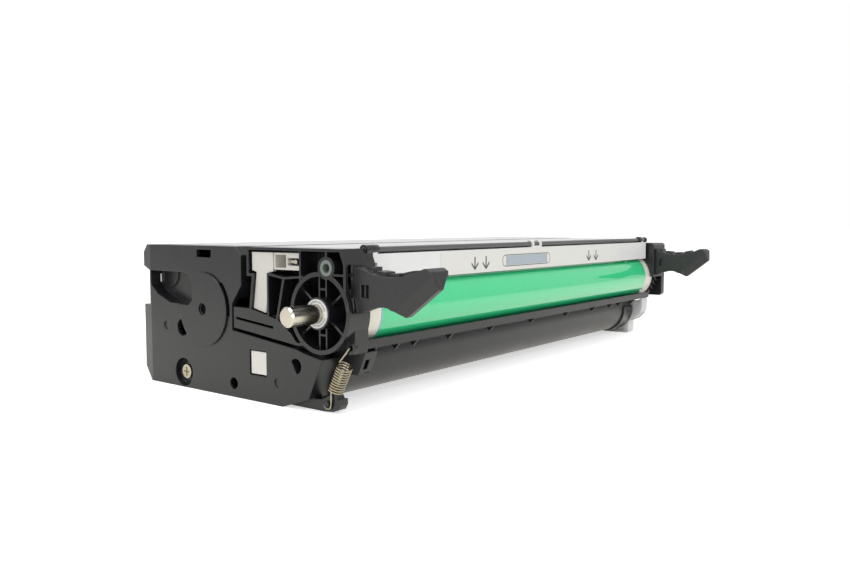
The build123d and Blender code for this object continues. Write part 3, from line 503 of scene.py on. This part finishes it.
class CARTRIDGE_OT_black_plastics(bpy.types.Operator):
    """Finish the black covers and frames, and the guide rod, whose grey is a painted reflection"""

    bl_idname = "cartridge.black_plastics"
    bl_label = "Black plastics"

    def execute(self, context):
        black = context.scene.cartridge_finish.shell
        # High-impact polystyrene from a polished tool: a deep satin black with faint smudges.
        shell = moulded(
            "polystyrene_shell", black, roughness=0.30, grain_mm=0.6, grain_depth_mm=0.006,
            wear_and_edge_highlight=0.45, easing_mm=0.6,
        )
        dress(shell, "toner_tub", "slot_roof", "near_end_cover", "pivot_disc", "far_end_cover",
              "far_frame")
        # The same from a mirror-polished tool: the long top panels carry the room's light.
        panel = moulded(
            "polystyrene_panel", black, roughness=0.14, grain_mm=6.0, grain_depth_mm=0.002,
            wear_and_edge_highlight=0.2,
        )
        dress(panel, "top_cover", "tub_lid", "drum_frame")
        # Glass-filled polycarbonate of the end frame: its colour a little darker as a painted
        # shade, with bright rib edges that are partly worn and partly a painted highlight.
        rib = moulded(
            "polycarbonate_frame", shade(black, 0.8), roughness=0.24, grain_mm=0.6, wear_and_edge_highlight=0.45
        )
        dress(rib, "near_frame")
        # Acetal gear, black: waxy and even.
        dress(moulded("acetal_black", shade(black, 0.8), roughness=0.38, wear_and_edge_highlight=0.1), "drum_gear")
        # Acetal rod: smooth, with a soft gloss. Its mid grey is a painted reflection of the bright
        # surround along it.
        rod = moulded(
            "acetal_painted_reflection_grey", linear("#525354"), roughness=0.2, grain_mm=6.0, grain_depth_mm=0.002,
            wear_and_edge_highlight=0.1,
        )
        dress(rod, "guide_rod")
        return {"FINISHED"}


class CARTRIDGE_OT_pale_plastics(bpy.types.Operator):
    """Finish the white, cream and uncoloured plastics"""

    bl_idname = "cartridge.pale_plastics"
    bl_label = "Pale plastics"

    def execute(self, context):
        settings = context.scene.cartridge_finish
        # White ABS, moulded: a soft satin gloss.
        white = moulded("abs_white", settings.white, roughness=0.32)
        dress(white, "guide_plate", "shaft_bush", "near_charge_bearing", "far_charge_bearing")
        # The same ABS, a warmer batch, on the window block. The contact pieces are a shade darker.
        dress(moulded("abs_warm_white", settings.window, roughness=0.36), "level_window")
        contact = moulded("abs_contact_white", shade(settings.window, 0.76), roughness=0.36)
        dress(contact, "terminal_plate", "contact_block")
        # Polypropylene in its natural colour, thin enough to let some light through.
        cover = moulded("polypropylene_natural", settings.natural, roughness=0.36, scatter=1.0)
        dress(cover, "gear_cover")
        # Acetal in its natural colour: waxy and even.
        dress(
            moulded("acetal_natural", settings.natural, roughness=0.40),
            "developer_gear", "feed_gear", "front_stirrer", "front_stirrer_gear",
            "rear_stirrer", "rear_stirrer_gear", "waste_auger", "auger_gear", "idler_gear",
        )
        # Polycarbonate, cream: the glossiest of the pale plastics.
        cream = moulded("polycarbonate_cream", settings.cream, roughness=0.30)
        dress(cream, "near_flange", "far_flange")
        # Sintered metal, grey-green: matt, with fine pores.
        bush = moulded(
            "sintered_bush", linear("#738077"), roughness=0.45, grain_mm=0.3, grain_depth_mm=0.02
        )
        dress(bush, "locating_bush")
        return {"FINISHED"}


class CARTRIDGE_OT_drum(bpy.types.Operator):
    """Finish the drum's green coating"""

    bl_idname = "cartridge.drum"
    bl_label = "Drum"

    def execute(self, context):
        settings = context.scene.cartridge_finish
        # Organic photoconductor, dip coated, with a pale line where it was wiped at each end.
        dress(drum_coating(settings.drum, settings.coat_edge), "drum_tube")
        return {"FINISHED"}


class CARTRIDGE_OT_metals(bpy.types.Operator):
    """Finish the steel and aluminium pieces"""

    bl_idname = "cartridge.metals"
    bl_label = "Metals"

    def execute(self, context):
        settings = context.scene.cartridge_finish
        # Centreless-ground free-cutting steel: fine rings round the shaft, drawn coarser to show.
        ground = tooled_metal(
            "ground_steel", settings.steel, roughness=0.22, line_mm=0.5, depth_mm=0.0006,
            lines_run=ROUND_SHAFT,
        )
        dress(ground, "drum_shaft", "developer_shaft", "feed_shaft", "charge_core", "contact_rod")
        # The same steel with a black oxide finish, oiled: dull, with the rings still there.
        black = tooled_metal(
            "black_oxide_steel", linear("#2b2b2d"), roughness=0.5, line_mm=0.5, depth_mm=0.0006,
            lines_run=ROUND_SHAFT,
        )
        dress(black, "near_hinge_pin", "far_hinge_pin")
        # Drawn spring wire: bright and slightly yellow, its lines drawn coarser to show.
        wire = tooled_metal(
            "spring_wire", settings.wire, roughness=0.22, line_mm=0.4, depth_mm=0.002
        )
        dress(wire, "near_spring")
        # Zinc-plated steel with a yellow passivation: a cloudy, warm satin.
        zinc = tooled_metal(
            "zinc_plated_steel", linear("#bfb8a2"), roughness=0.34, line_mm=1.2, depth_mm=0.006
        )
        dress(zinc, "near_cover_screw", "doctor_bracket", "blade_bracket")
        # Stainless strip: fine lines along its length from the rolls.
        strip = tooled_metal(
            "rolled_stainless", linear("#c2c2c2"), roughness=0.25, line_mm=0.3, depth_mm=0.003,
            lines_run=ALONG_STRIP,
        )
        dress(strip, "doctor_blade")
        # Blasted aluminium sleeve: dull and dark, with an even grain.
        sleeve = tooled_metal(
            "blasted_aluminium", linear("#6d6e72"), roughness=0.55, line_mm=0.25, depth_mm=0.02
        )
        dress(sleeve, "developer_roller")
        return {"FINISHED"}


class CARTRIDGE_OT_rubbers(bpy.types.Operator):
    """Finish the foam, rubber and film pieces"""

    bl_idname = "cartridge.rubbers"
    bl_label = "Rubbers and film"

    def execute(self, context):
        # Polyurethane foam, carbon filled: dark grey with open cells.
        dress(foam("polyurethane_foam", linear("#3a3a3a"), cell_mm=0.6), "feed_roller")
        # Conductive rubber, ground smooth: an even, near-black satin.
        rubber = sheet_plastic(
            "conductive_rubber", linear("#262626"), roughness=0.45, streak_mm=2.0
        )
        dress(rubber, "charge_sleeve")
        # Cast polyurethane: amber, with the mould's own gloss.
        blade = sheet_plastic("cast_polyurethane", linear("#c9a45c"), roughness=0.2, streak_mm=3.0)
        dress(blade, "cleaning_blade")
        # Polyester film: thin, glossy and half see-through.
        film = sheet_plastic(
            "polyester_film", linear("#c9cfc9"), roughness=0.12, streak_mm=2.0, alpha=0.6
        )
        dress(film, "front_stirrer_film", "rear_stirrer_film")
        return {"FINISHED"}


# The two grips: the piece, the node it stands for, its root along Y in millimetres, and its
# length against the near one's.
GRIPS = (("near_grip", "near_handle", -14.7, 1.0), ("far_grip", "far_handle", -17.7, 0.955))
# The grip's upright wall, seen from the near end: its stations along Y, each with the wall's low
# edge and high edge, in millimetres.
GRIP_WALL = (
    (-17.5, 0.7, 18.7), (-18.6, 1.0, 18.4), (-20.6, 1.6, 17.6), (-22.7, 2.4, 16.9),
    (-24.8, 3.1, 16.2), (-27.5, 3.7, 15.65), (-29.8, 3.9, 15.4), (-32.2, 3.6, 15.25),
    (-33.4, 2.9, 15.3), (-35.2, 2.6, 15.4), (-37.0, 1.9, 15.65), (-38.8, 0.9, 15.95),
    (-39.8, 0.45, 16.15), (-40.9, 1.0, 16.4), (-43.0, 2.56, 16.9), (-45.5, 4.45, 17.65),
    (-48.0, 6.33, 18.7), (-49.2, 7.2, 19.2), (-50.5, 8.2, 19.2), (-52.4, 9.63, 18.1),
    (-53.6, 10.55, 15.4), (-54.8, 11.5, 12.3),
)
# The finger rest behind that wall: four flat pads with hollows between them, and the tip's top.
GRIP_REST = (
    (-21.9, 14.8, 18.8), (-22.1, 14.7, 16.6), (-24.1, 14.0, 15.9), (-24.3, 14.0, 17.5),
    (-28.5, 13.2, 17.1), (-28.7, 13.1, 15.0), (-30.8, 12.9, 14.9), (-31.0, 12.9, 16.7),
    (-35.2, 13.0, 16.8), (-35.4, 13.0, 15.0), (-37.4, 13.4, 15.2), (-37.6, 13.4, 17.2),
    (-41.8, 14.2, 18.1), (-42.0, 14.2, 16.4), (-45.0, 15.2, 17.3), (-47.6, 16.4, 18.5),
    (-49.2, 17.0, 19.2), (-50.6, 17.0, 19.3), (-52.6, 15.8, 18.1),
)


class CARTRIDGE_OT_grips(bpy.types.Operator):
    """Model the two grips as the channel-section mouldings that they are"""

    bl_idname = "cartridge.grips"
    bl_label = "Grips"

    def execute(self, context):
        # Black polystyrene from a spark-eroded tool: an even matt grain that gives grip.
        grain = moulded(
            "polystyrene_grip_face", context.scene.cartridge_finish.handle, roughness=0.38,
            grain_mm=0.45, grain_depth_mm=0.02, wear_and_edge_highlight=0.6,
        )
        for name, node, root, length in GRIPS:
            dress(grain, node)
            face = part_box(node)[0].x
            grip = self.grip(context.scene.cartridge_grip, name, face, root, length)
            finish_piece(grip, grain, "drum_unit", "black_handle")
            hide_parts(node)
        return {"FINISHED"}

    def grip(self, settings, name, face, root, length):
        """One grip, its wall's outer side in the plane X = face."""

        def along(y):
            """A station's place in metres, drawn in towards the root by the grip's length."""
            return (root + (y - root) * length) * MM

        def placed(stations):
            """The stations in metres: the first one moved to the root, then those beyond it."""
            first = (root * MM, stations[0][1] * MM, stations[0][2] * MM)
            beyond = [station for station in stations if station[0] < root - 1.0]
            return [first, *((along(y), low * MM, high * MM) for y, low, high in beyond)]

        wall = self.drawn_wall("grip_wall", face, placed(GRIP_WALL), settings.wall)
        self.press_window(face, along)
        self.lean(face, along, settings.setback)
        bpy.ops.object.mode_set(mode="OBJECT")

        overlap = 0.4 * MM
        rest_face = face + settings.wall - overlap
        rest_width = settings.width - settings.wall + overlap
        rest = self.drawn_wall("grip_rest", rest_face, placed(GRIP_REST), rest_width)
        far_side = face + 5.0 * MM
        pick("VERT", lambda corner: corner.y < along(-49.0) and corner.x > far_side)
        bpy.ops.transform.translate(value=(settings.flare, 0.0, 0.0))
        bpy.ops.object.mode_set(mode="OBJECT")

        foot = settings.wall + settings.setback
        tip = self.web(
            face, along(-51.6), settings.width + settings.flare, foot, thickness=2.2 * MM,
            bottom=11.6 * MM, top=17.9 * MM, slant=-2.3 * length * MM,
        )
        # Three ribs stand under the finger rest, one at each of its notches.
        first, *others = (-24.0, -31.0, -38.0)
        rib = self.web(
            face, along(first), settings.width, foot, thickness=1.2 * MM,
            bottom=4.5 * MM, top=15.0 * MM,
        )
        ribs = [rib]
        for y in others:
            ribs.append(copied(rib, (0.0, along(y) - along(first), 0.0), "grip_web"))
        for part in (wall, rest, tip, *ribs):
            ease_edges(part, settings.edge, angle=28.0)
        choose(wall, rest, tip, *ribs, self.pin_mark(face, along(-37.3)))
        bpy.ops.object.join()
        bpy.ops.object.shade_smooth_by_angle(angle=math.radians(11.0))
        wall.name = name
        return wall

    def drawn_wall(self, name, x, stations, thickness):
        """An upright wall drawn out edge by edge along Y, with its thickness, in edit mode."""
        (start, low, high), (end, _, _) = stations[:2]
        piece = start_piece(
            name, bpy.ops.mesh.primitive_plane_add, (x, (start + end) / 2, (low + high) / 2),
            rotation=(0.0, math.pi / 2, 0.0), scale=(high - low, start - end, 1.0), size=1.0,
        )
        before = (start, low, high)
        for number, station in enumerate(stations[1:]):
            y, down, up = (now - then for now, then in zip(station, before))
            if number:
                pick("EDGE", lambda corner: at(corner.y, before[0]))
                extrude(0.0, y, down)
            else:
                pick("VERT", lambda corner: at(corner.y, station[0]))
                bpy.ops.transform.translate(value=(0.0, 0.0, down))
            middle = (before[1] + before[2]) / 2 + down
            pick("VERT", lambda corner: at(corner.y, station[0]) and corner.z > middle)
            bpy.ops.transform.translate(value=(0.0, 0.0, up - down))
            before = station
        give_thickness(thickness, 0.0, 0.0)
        return piece

    def press_window(self, face, along):
        """The latch's window: a rectangle of the wall is pressed in, a tab left standing in it."""
        front, back = along(-18.6), along(-22.7)
        sill, head, rim = 7.0 * MM, 12.0 * MM, 1.0 * MM
        recess, tab = 2.1 * MM, 1.5 * MM
        middle = (front + back) / 2

        def in_strip(corner):
            return at(corner.x, face) and back - TOUCH < corner.y < front + TOUCH

        def in_window(corner):
            return in_strip(corner) and sill - TOUCH < corner.z < head + TOUCH

        def in_tab(corner):
            return at(corner.x, face + recess) and middle - TOUCH < corner.y < front - rim + TOUCH

        for height in (sill, head):
            pick("FACE", in_strip)
            bpy.ops.mesh.bisect(plane_co=(face, 0.0, height), plane_no=(0.0, 0.0, 1.0))
        for place in (front - rim, middle):
            pick("FACE", in_window)
            bpy.ops.mesh.bisect(plane_co=(face, place, 0.0), plane_no=(0.0, 1.0, 0.0))
        pick("FACE", in_window)
        extrude(recess, 0.0, 0.0)
        pick("FACE", in_tab)
        extrude(-tab, 0.0, 0.0)

    def lean(self, face, along, setback):
        """A crease along the lower edge, from which the wall leans away from the near end."""
        low_corner = Vector((face, along(-40.4), 0.6 * MM))
        inward = Vector((0.0, 0.602, 0.799))
        crease, band, root_side = 5.0 * MM, 1.6 * MM, low_corner.y + 2.5 * MM
        bpy.ops.mesh.select_all(action="SELECT")
        bpy.ops.mesh.bisect(plane_co=low_corner + inward * crease, plane_no=inward)
        pick("VERT", lambda corner: (corner - low_corner).dot(inward) < band
             and corner.y < root_side)
        bpy.ops.transform.translate(value=(setback, 0.0, 0.0))

    def web(self, face, y, width, foot, thickness, bottom, top, slant=0.0):
        """A tapered web between the wall and the finger rest: wide at the top, narrow below."""
        start, end = face + 2.0 * MM, face + width
        middle = Vector(((start + end) / 2, y, (bottom + top) / 2))
        piece = start_piece(
            "grip_web", bpy.ops.mesh.primitive_cube_add, middle,
            scale=(end - start, thickness, top - bottom), size=1.0,
        )
        pick("VERT", lambda corner: corner.z < middle.z)
        bpy.ops.transform.translate(value=(0.0, slant, 0.0))
        pick("VERT", lambda corner: corner.z < middle.z and corner.x > middle.x)
        bpy.ops.transform.translate(value=(face + foot - end, 0.0, 0.0))
        bpy.ops.object.mode_set(mode="OBJECT")
        return piece

    def pin_mark(self, face, y):
        """The round mark that an ejector pin leaves, a hair proud of the wall."""
        depth, proud, height, rim = 0.5 * MM, 0.06 * MM, 9.8 * MM, 0.25 * MM
        mark = start_piece(
            "grip_pin_mark", bpy.ops.mesh.primitive_cylinder_add,
            (face + depth / 2 - proud, y, height), rotation=(0.0, math.pi / 2, 0.0),
            vertices=32, radius=1.2 * MM, depth=depth,
        )
        pick("FACE", lambda corner: corner.x < face)
        bpy.ops.mesh.inset(thickness=rim, depth=-0.05 * MM)
        bpy.ops.object.mode_set(mode="OBJECT")
        return mark


class CARTRIDGE_OT_rod_ends(bpy.types.Operator):
    """Model the frame's shoulder beside the guide plate and the caps on the guide rod's ends"""

    bl_idname = "cartridge.rod_ends"
    bl_label = "Rod ends"

    def execute(self, context):
        shell = bpy.data.materials["polystyrene_shell"]
        rib = bpy.data.materials["polycarbonate_frame"]
        # The shoulder takes the end frame's material, its darker colour a painted shade.
        finish_piece(self.shoulder(), rib, "drum_unit", "black_shell")
        # Where each cap starts and ends along the cartridge, in millimetres.
        for name, start, end in (("near_rod_cap", 17.45, 23.6), ("far_rod_cap", 290.6, 295.6)):
            finish_piece(self.cap(name, start * MM, end * MM), shell, "guide", "black_shell")
        return {"FINISHED"}

    def shoulder(self):
        """The end frame's sloping front face, carried on to just short of the plate."""
        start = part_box("near_frame")[1].x
        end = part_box("guide_plate")[0].x - 0.3 * MM
        front, back, slope = -14.5 * MM, -9.0 * MM, 2.5 * MM
        bottom, bend, top = 18.8 * MM, 19.8 * MM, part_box("drum_frame")[1].z - 1.45 * MM
        piece = start_piece(
            "near_shoulder", bpy.ops.mesh.primitive_cube_add,
            ((start + end) / 2, (front + back) / 2, (bottom + top) / 2),
            scale=(end - start, back - front, top - bottom), size=1.0,
        )
        bpy.ops.mesh.select_all(action="SELECT")
        bpy.ops.mesh.bisect(plane_co=(0.0, 0.0, bend), plane_no=(0.0, 0.0, 1.0))
        pick("VERT", lambda corner: at(corner.z, top) and at(corner.y, front))
        bpy.ops.transform.translate(value=(0.0, slope, 0.0))
        bpy.ops.object.mode_set(mode="OBJECT")
        return piece

    def cap(self, name, start, end):
        """A black cap round the rod and its end clip, with a small blind hole in its near face."""
        rod_low, rod_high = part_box("guide_rod")
        axis = (rod_low + rod_high) / 2
        radius, rim, hole_depth = 2.15 * MM, 0.9 * MM, 1.0 * MM
        piece = start_piece(
            name, bpy.ops.mesh.primitive_cylinder_add, ((start + end) / 2, axis.y, axis.z),
            rotation=(0.0, math.pi / 2, 0.0), vertices=40, radius=radius, depth=end - start,
        )
        pick("FACE", lambda corner: at(corner.x, start))
        bpy.ops.mesh.inset(thickness=rim)
        extrude(hole_depth, 0.0, 0.0)
        bpy.ops.object.mode_set(mode="OBJECT")
        ease_edges(piece, 0.3 * MM)
        bpy.ops.object.shade_smooth_by_angle(angle=math.radians(25.0))
        return piece


class CARTRIDGE_OT_label(bpy.types.Operator):
    """Model the label on the guide plate with its arrows and its plain bar"""

    bl_idname = "cartridge.label"
    bl_label = "Label"

    def execute(self, context):
        settings = context.scene.cartridge_label
        # Coated paper: nearly even, with a soft satin face. The inks take the paper's fibres.
        paper_face = paper("label_paper", settings.paper)
        ink = paper("label_ink", settings.ink)
        front = self.sheet(settings, paper_face)
        # Where the arrows stand along the cartridge, in millimetres.
        first, *others = (92.0, 101.6, 213.2, 222.8)
        arrows = [self.arrow("label_arrow_1", first * MM, front)]
        for number, x in enumerate(others, 2):
            move = ((x - first) * MM, 0.0, 0.0)
            arrows.append(copied(arrows[0], move, f"label_arrow_{number}"))
        for arrow in arrows:
            finish_piece(arrow, ink, "guide", "black_shell")
        self.bar(settings, ink, paper_face, front)
        return {"FINISHED"}

    def sheet(self, settings, paper_face):
        """The label itself, with rounded corners. Gives the plane of its printed side."""
        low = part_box("guide_plate")[0]
        top, margin, corner_radius = 22.9 * MM, 0.2 * MM, 0.8 * MM
        middle = Vector(((settings.start + settings.end) / 2, low.y, (low.z + top) / 2))
        length = settings.end - settings.start
        label = flat_piece("plate_label", middle, length, top - low.z - margin)
        self.round_and_thicken(label, corner_radius, 3, settings.thickness)
        finish_piece(label, paper_face, "guide", "white_plastic")
        return low.y - settings.thickness

    def round_and_thicken(self, piece, corner_radius, segments, thickness):
        """Rounds a flat piece's corners and gives it its thickness, away from the plate."""
        pick("VERT", lambda corner: True)
        bpy.ops.mesh.bevel(affect="VERTICES", offset=corner_radius, segments=segments)
        give_thickness(0.0, -thickness, 0.0)
        bpy.ops.object.mode_set(mode="OBJECT")

    def arrow(self, name, x, front):
        """A plain arrow that points down: a stem, with two arms drawn out of its foot."""
        top, foot, stroke, arm = 20.0 * MM, 13.9 * MM, 1.0 * MM, 2.4 * MM
        arm_root, ink_thickness = foot + 1.3 * MM, 0.02 * MM
        piece = flat_piece(name, (x, front, (top + foot) / 2), stroke, top - foot)
        bpy.ops.mesh.select_all(action="SELECT")
        bpy.ops.mesh.bisect(plane_co=(x, front, arm_root), plane_no=(0.0, 0.0, 1.0))
        for side in (-1.0, 1.0):
            edge = x + side * stroke / 2
            pick("EDGE", lambda corner: at(corner.x, edge) and corner.z < arm_root + TOUCH)
            extrude(side * arm, 0.0, arm)
        give_thickness(0.0, -ink_thickness, 0.0)
        bpy.ops.object.mode_set(mode="OBJECT")
        return piece

    def bar(self, settings, ink, paper_face, front):
        """A plain bar in a thin outline with round ends, and a line across each of its ends."""
        fill = paper("label_bar_ink", settings.bar)
        centre_along, centre_height = 141.0, 17.2
        # Each row: how far its centre is from the bar's, its size, its corner radius and its
        # thickness in millimetres, with its material and slot. The later ones stand prouder.
        for name, offset, width, height, radius, material, thickness, slot in (
            ("label_bar_outline", 0.0, 49.0, 6.0, 2.9, ink, 0.02, "black_shell"),
            ("label_bar_ground", 0.0, 48.2, 5.2, 2.5, paper_face, 0.03, "white_plastic"),
            ("label_bar_line_1", -20.6, 0.35, 5.2, 0.05, ink, 0.035, "black_shell"),
            ("label_bar_line_2", 20.6, 0.35, 5.2, 0.05, ink, 0.035, "black_shell"),
            ("label_bar", 0.0, 40.8, 4.9, 0.1, fill, 0.04, "white_plastic"),
        ):
            middle = Vector(((centre_along + offset) * MM, front, centre_height * MM))
            piece = flat_piece(name, middle, width * MM, height * MM)
            self.round_and_thicken(piece, radius * MM, 5, thickness * MM)
            finish_piece(piece, material, "guide", slot)


# The photograph's viewpoint, worked out from the cartridge's own straight edges: the camera's
# place in millimetres, and its view's turn from the X axis and slope downwards in degrees.
CAMERA_PLACE = Vector((-219.5, -223.286, 34.911))
VIEW_TURN = 37.609
VIEW_SLOPE = 4.217


class CARTRIDGE_OT_stage(bpy.types.Operator):
    """Set up the floor, the white surround, the soft lights and the camera"""

    bl_idname = "cartridge.stage"
    bl_label = "Studio"

    def execute(self, context):
        settings = context.scene.cartridge_stage
        self.floor()
        self.surround(settings.world)
        self.lights(settings.key, settings.sheen)
        self.camera(settings.lens)
        context.scene.view_settings.view_transform = "Standard"
        return {"FINISHED"}

    def floor(self):
        """A matt white floor that reads as white to the camera and still takes the shadow."""
        deselect()
        bpy.ops.mesh.primitive_plane_add(size=30.0, location=(0.0, 0.0, CAD_BOX[0][2]))
        floor = bpy.context.object
        floor.name = "studio_floor"
        # Matt white paint, rolled: even, with faint broad clouds.
        material, tree, place = new_material("studio_floor")
        cloud = patches(tree, place, 600.0)
        white = add(
            tree, "ShaderNodeMix", BLEND,
            {"Factor": cloud, FIRST: shade(linear("#f4f4f4")), SECOND: shade(linear("#f7f7f7"))},
        )
        path = add(tree, "ShaderNodeLightPath")
        glossy = path.outputs["Is Glossy Ray"]
        # In reflections the floor is a darker grey than to the camera: a painted shade in what the
        # cartridge reflects.
        paint_and_reflected_shade = add(
            tree, "ShaderNodeMix", BLEND,
            {"Factor": glossy, FIRST: white.outputs[BLENDED], SECOND: shade(linear("#dad9d4"))},
        )
        # In reflections the floor glows beside the cartridge and falls off away from it.
        away = add(tree, "ShaderNodeVectorMath", {"operation": "LENGTH"}, {0: place})
        near = add(
            tree, "ShaderNodeMapRange", None,
            {"Value": away.outputs["Value"], "From Min": 0.25, "From Max": 1.3,
             "To Min": 0.6, "To Max": 0.0},
        )
        mirrored = add(tree, "ShaderNodeMath", {"operation": "MULTIPLY"}, {0: glossy, 1: near})
        # To the camera it glows enough to read as white and keep the shadow.
        own_glow, seen = 0.58, path.outputs["Is Camera Ray"]
        direct = add(tree, "ShaderNodeMath", {"operation": "MULTIPLY"}, {0: seen, 1: own_glow})
        warmth = add(
            tree, "ShaderNodeMix", BLEND,
            {"Factor": glossy, FIRST: shade(linear("#ffffff")), SECOND: shade(linear("#fffdf6"))},
        )
        close_tree(tree, {
            "Base Color": paint_and_reflected_shade.outputs[BLENDED],
            "Roughness": 1.0,
            "Specular IOR Level": 0.0,
            "Emission Color": warmth.outputs[BLENDED],
            "Emission Strength": add(
                tree, "ShaderNodeMath", {"operation": "ADD"}, {0: direct, 1: mirrored}
            ),
        })
        floor.data.materials.append(material)

    def surround(self, strength):
        """A white tent: full white to the camera, dimmer in reflections except at the back."""
        world = bpy.data.worlds.new("studio_surround")
        bpy.context.scene.world = world
        world.use_nodes = True
        tree = world.node_tree
        tree.nodes.clear()
        path = add(tree, "ShaderNodeLightPath")
        seen = add(
            tree, "ShaderNodeMath", {"operation": "MAXIMUM"},
            {0: path.outputs["Is Camera Ray"], 1: path.outputs["Is Transmission Ray"]},
        )
        level = add(tree, "ShaderNodeMapRange", None, {"Value": seen, "To Min": strength})
        direction = add(tree, "ShaderNodeTexCoord").outputs["Generated"]
        behind = (0.61, 0.79, 0.0)
        backdrop = add(
            tree, "ShaderNodeVectorMath", {"operation": "DOT_PRODUCT"}, {0: direction, 1: behind}
        )
        mirrored = add(
            tree, "ShaderNodeMapRange", None,
            {"Value": backdrop.outputs["Value"], "From Min": 0.35, "From Max": 0.9,
             "To Min": 0.68, "To Max": 1.15},
        )
        # The Mix node's plain numbers A and B are its sockets 2 and 3.
        glow = add(
            tree, "ShaderNodeMix", {"data_type": "FLOAT"},
            {"Factor": path.outputs["Is Glossy Ray"], 2: level, 3: mirrored},
        )
        background = add(
            tree, "ShaderNodeBackground", None, {"Color": (1.0, 1.0, 1.0, 1.0), "Strength": glow}
        )
        add(tree, "ShaderNodeOutputWorld", None, {"Surface": background})

    def lights(self, power, sheen):
        """Two large soft lights, and two panels that only draw bright lines on glossy edges."""
        # Each row: where the light stands and what it looks at, and its side, in metres.
        for name, place, aim, size, watts, sheen_only in (
            ("key_softbox", (-0.1, -0.7, 0.9), (0.15, 0.0, 0.0), 0.9, power, False),
            ("end_softbox", (-0.9, 0.1, 0.35), (0.0, 0.03, 0.0), 0.6, power * 0.4, False),
            ("top_panel", (-0.45, 0.05, 1.1), (0.0, 0.03, 0.0), 0.7, sheen, True),
            ("camera_panel", (-0.85, -0.65, 0.25), (0.0, -0.02, 0.0), 0.4, sheen * 0.35, True),
        ):
            deselect()
            bpy.ops.object.light_add(type="AREA", location=place)
            lamp = bpy.context.object
            lamp.name = name
            lamp.data.size = size
            lamp.data.energy = watts
            lamp.visible_diffuse = not sheen_only
            away = Vector(aim) - Vector(place)
            lamp.rotation_euler = away.to_track_quat("-Z", "Y").to_euler()

    def camera(self, lens):
        """The camera at the photograph's viewpoint."""
        bpy.ops.object.camera_add(location=CAMERA_PLACE * MM)
        camera = bpy.context.object
        camera.name = "studio_camera"
        turn, tilt = math.radians(VIEW_TURN - 90.0), math.radians(90.0 - VIEW_SLOPE)
        camera.rotation_euler = Euler((tilt, 0.0, turn))
        camera.data.sensor_width = 36.0
        camera.data.lens = lens
        camera.data.clip_start = 10.0 * MM
        bpy.context.scene.camera = camera


OPERATORS = (
    CARTRIDGE_OT_black_plastics,
    CARTRIDGE_OT_pale_plastics,
    CARTRIDGE_OT_drum,
    CARTRIDGE_OT_metals,
    CARTRIDGE_OT_rubbers,
    CARTRIDGE_OT_grips,
    CARTRIDGE_OT_rod_ends,
    CARTRIDGE_OT_label,
    CARTRIDGE_OT_stage,
)


class CARTRIDGE_PT_panel(bpy.types.Panel):
    """Lists the steps that dress the cartridge"""

    bl_idname = "CARTRIDGE_PT_panel"
    bl_label = "Cartridge"
    bl_space_type = "VIEW_3D"
    bl_region_type = "UI"
    bl_category = "Cartridge"

    def draw(self, context):
        for operator in OPERATORS:
            self.layout.operator(operator.bl_idname)


SETTINGS = {
    "cartridge_finish": FinishSettings,
    "cartridge_grip": GripSettings,
    "cartridge_label": LabelSettings,
    "cartridge_stage": StageSettings,
}


def register():
    for group in SETTINGS.values():
        bpy.utils.register_class(group)
    for name, group in SETTINGS.items():
        setattr(bpy.types.Scene, name, bpy.props.PointerProperty(type=group))
    for cls in (*OPERATORS, CARTRIDGE_PT_panel):
        bpy.utils.register_class(cls)


def unregister():
    for cls in (CARTRIDGE_PT_panel, *reversed(OPERATORS)):
        bpy.utils.unregister_class(cls)
    for name, group in SETTINGS.items():
        delattr(bpy.types.Scene, name)
        bpy.utils.unregister_class(group)


def main():
    register()
    for operator in OPERATORS:
        group, name = operator.bl_idname.split(".")
        getattr(getattr(bpy.ops, group), name)()


if __name__ == "__main__":
    main()
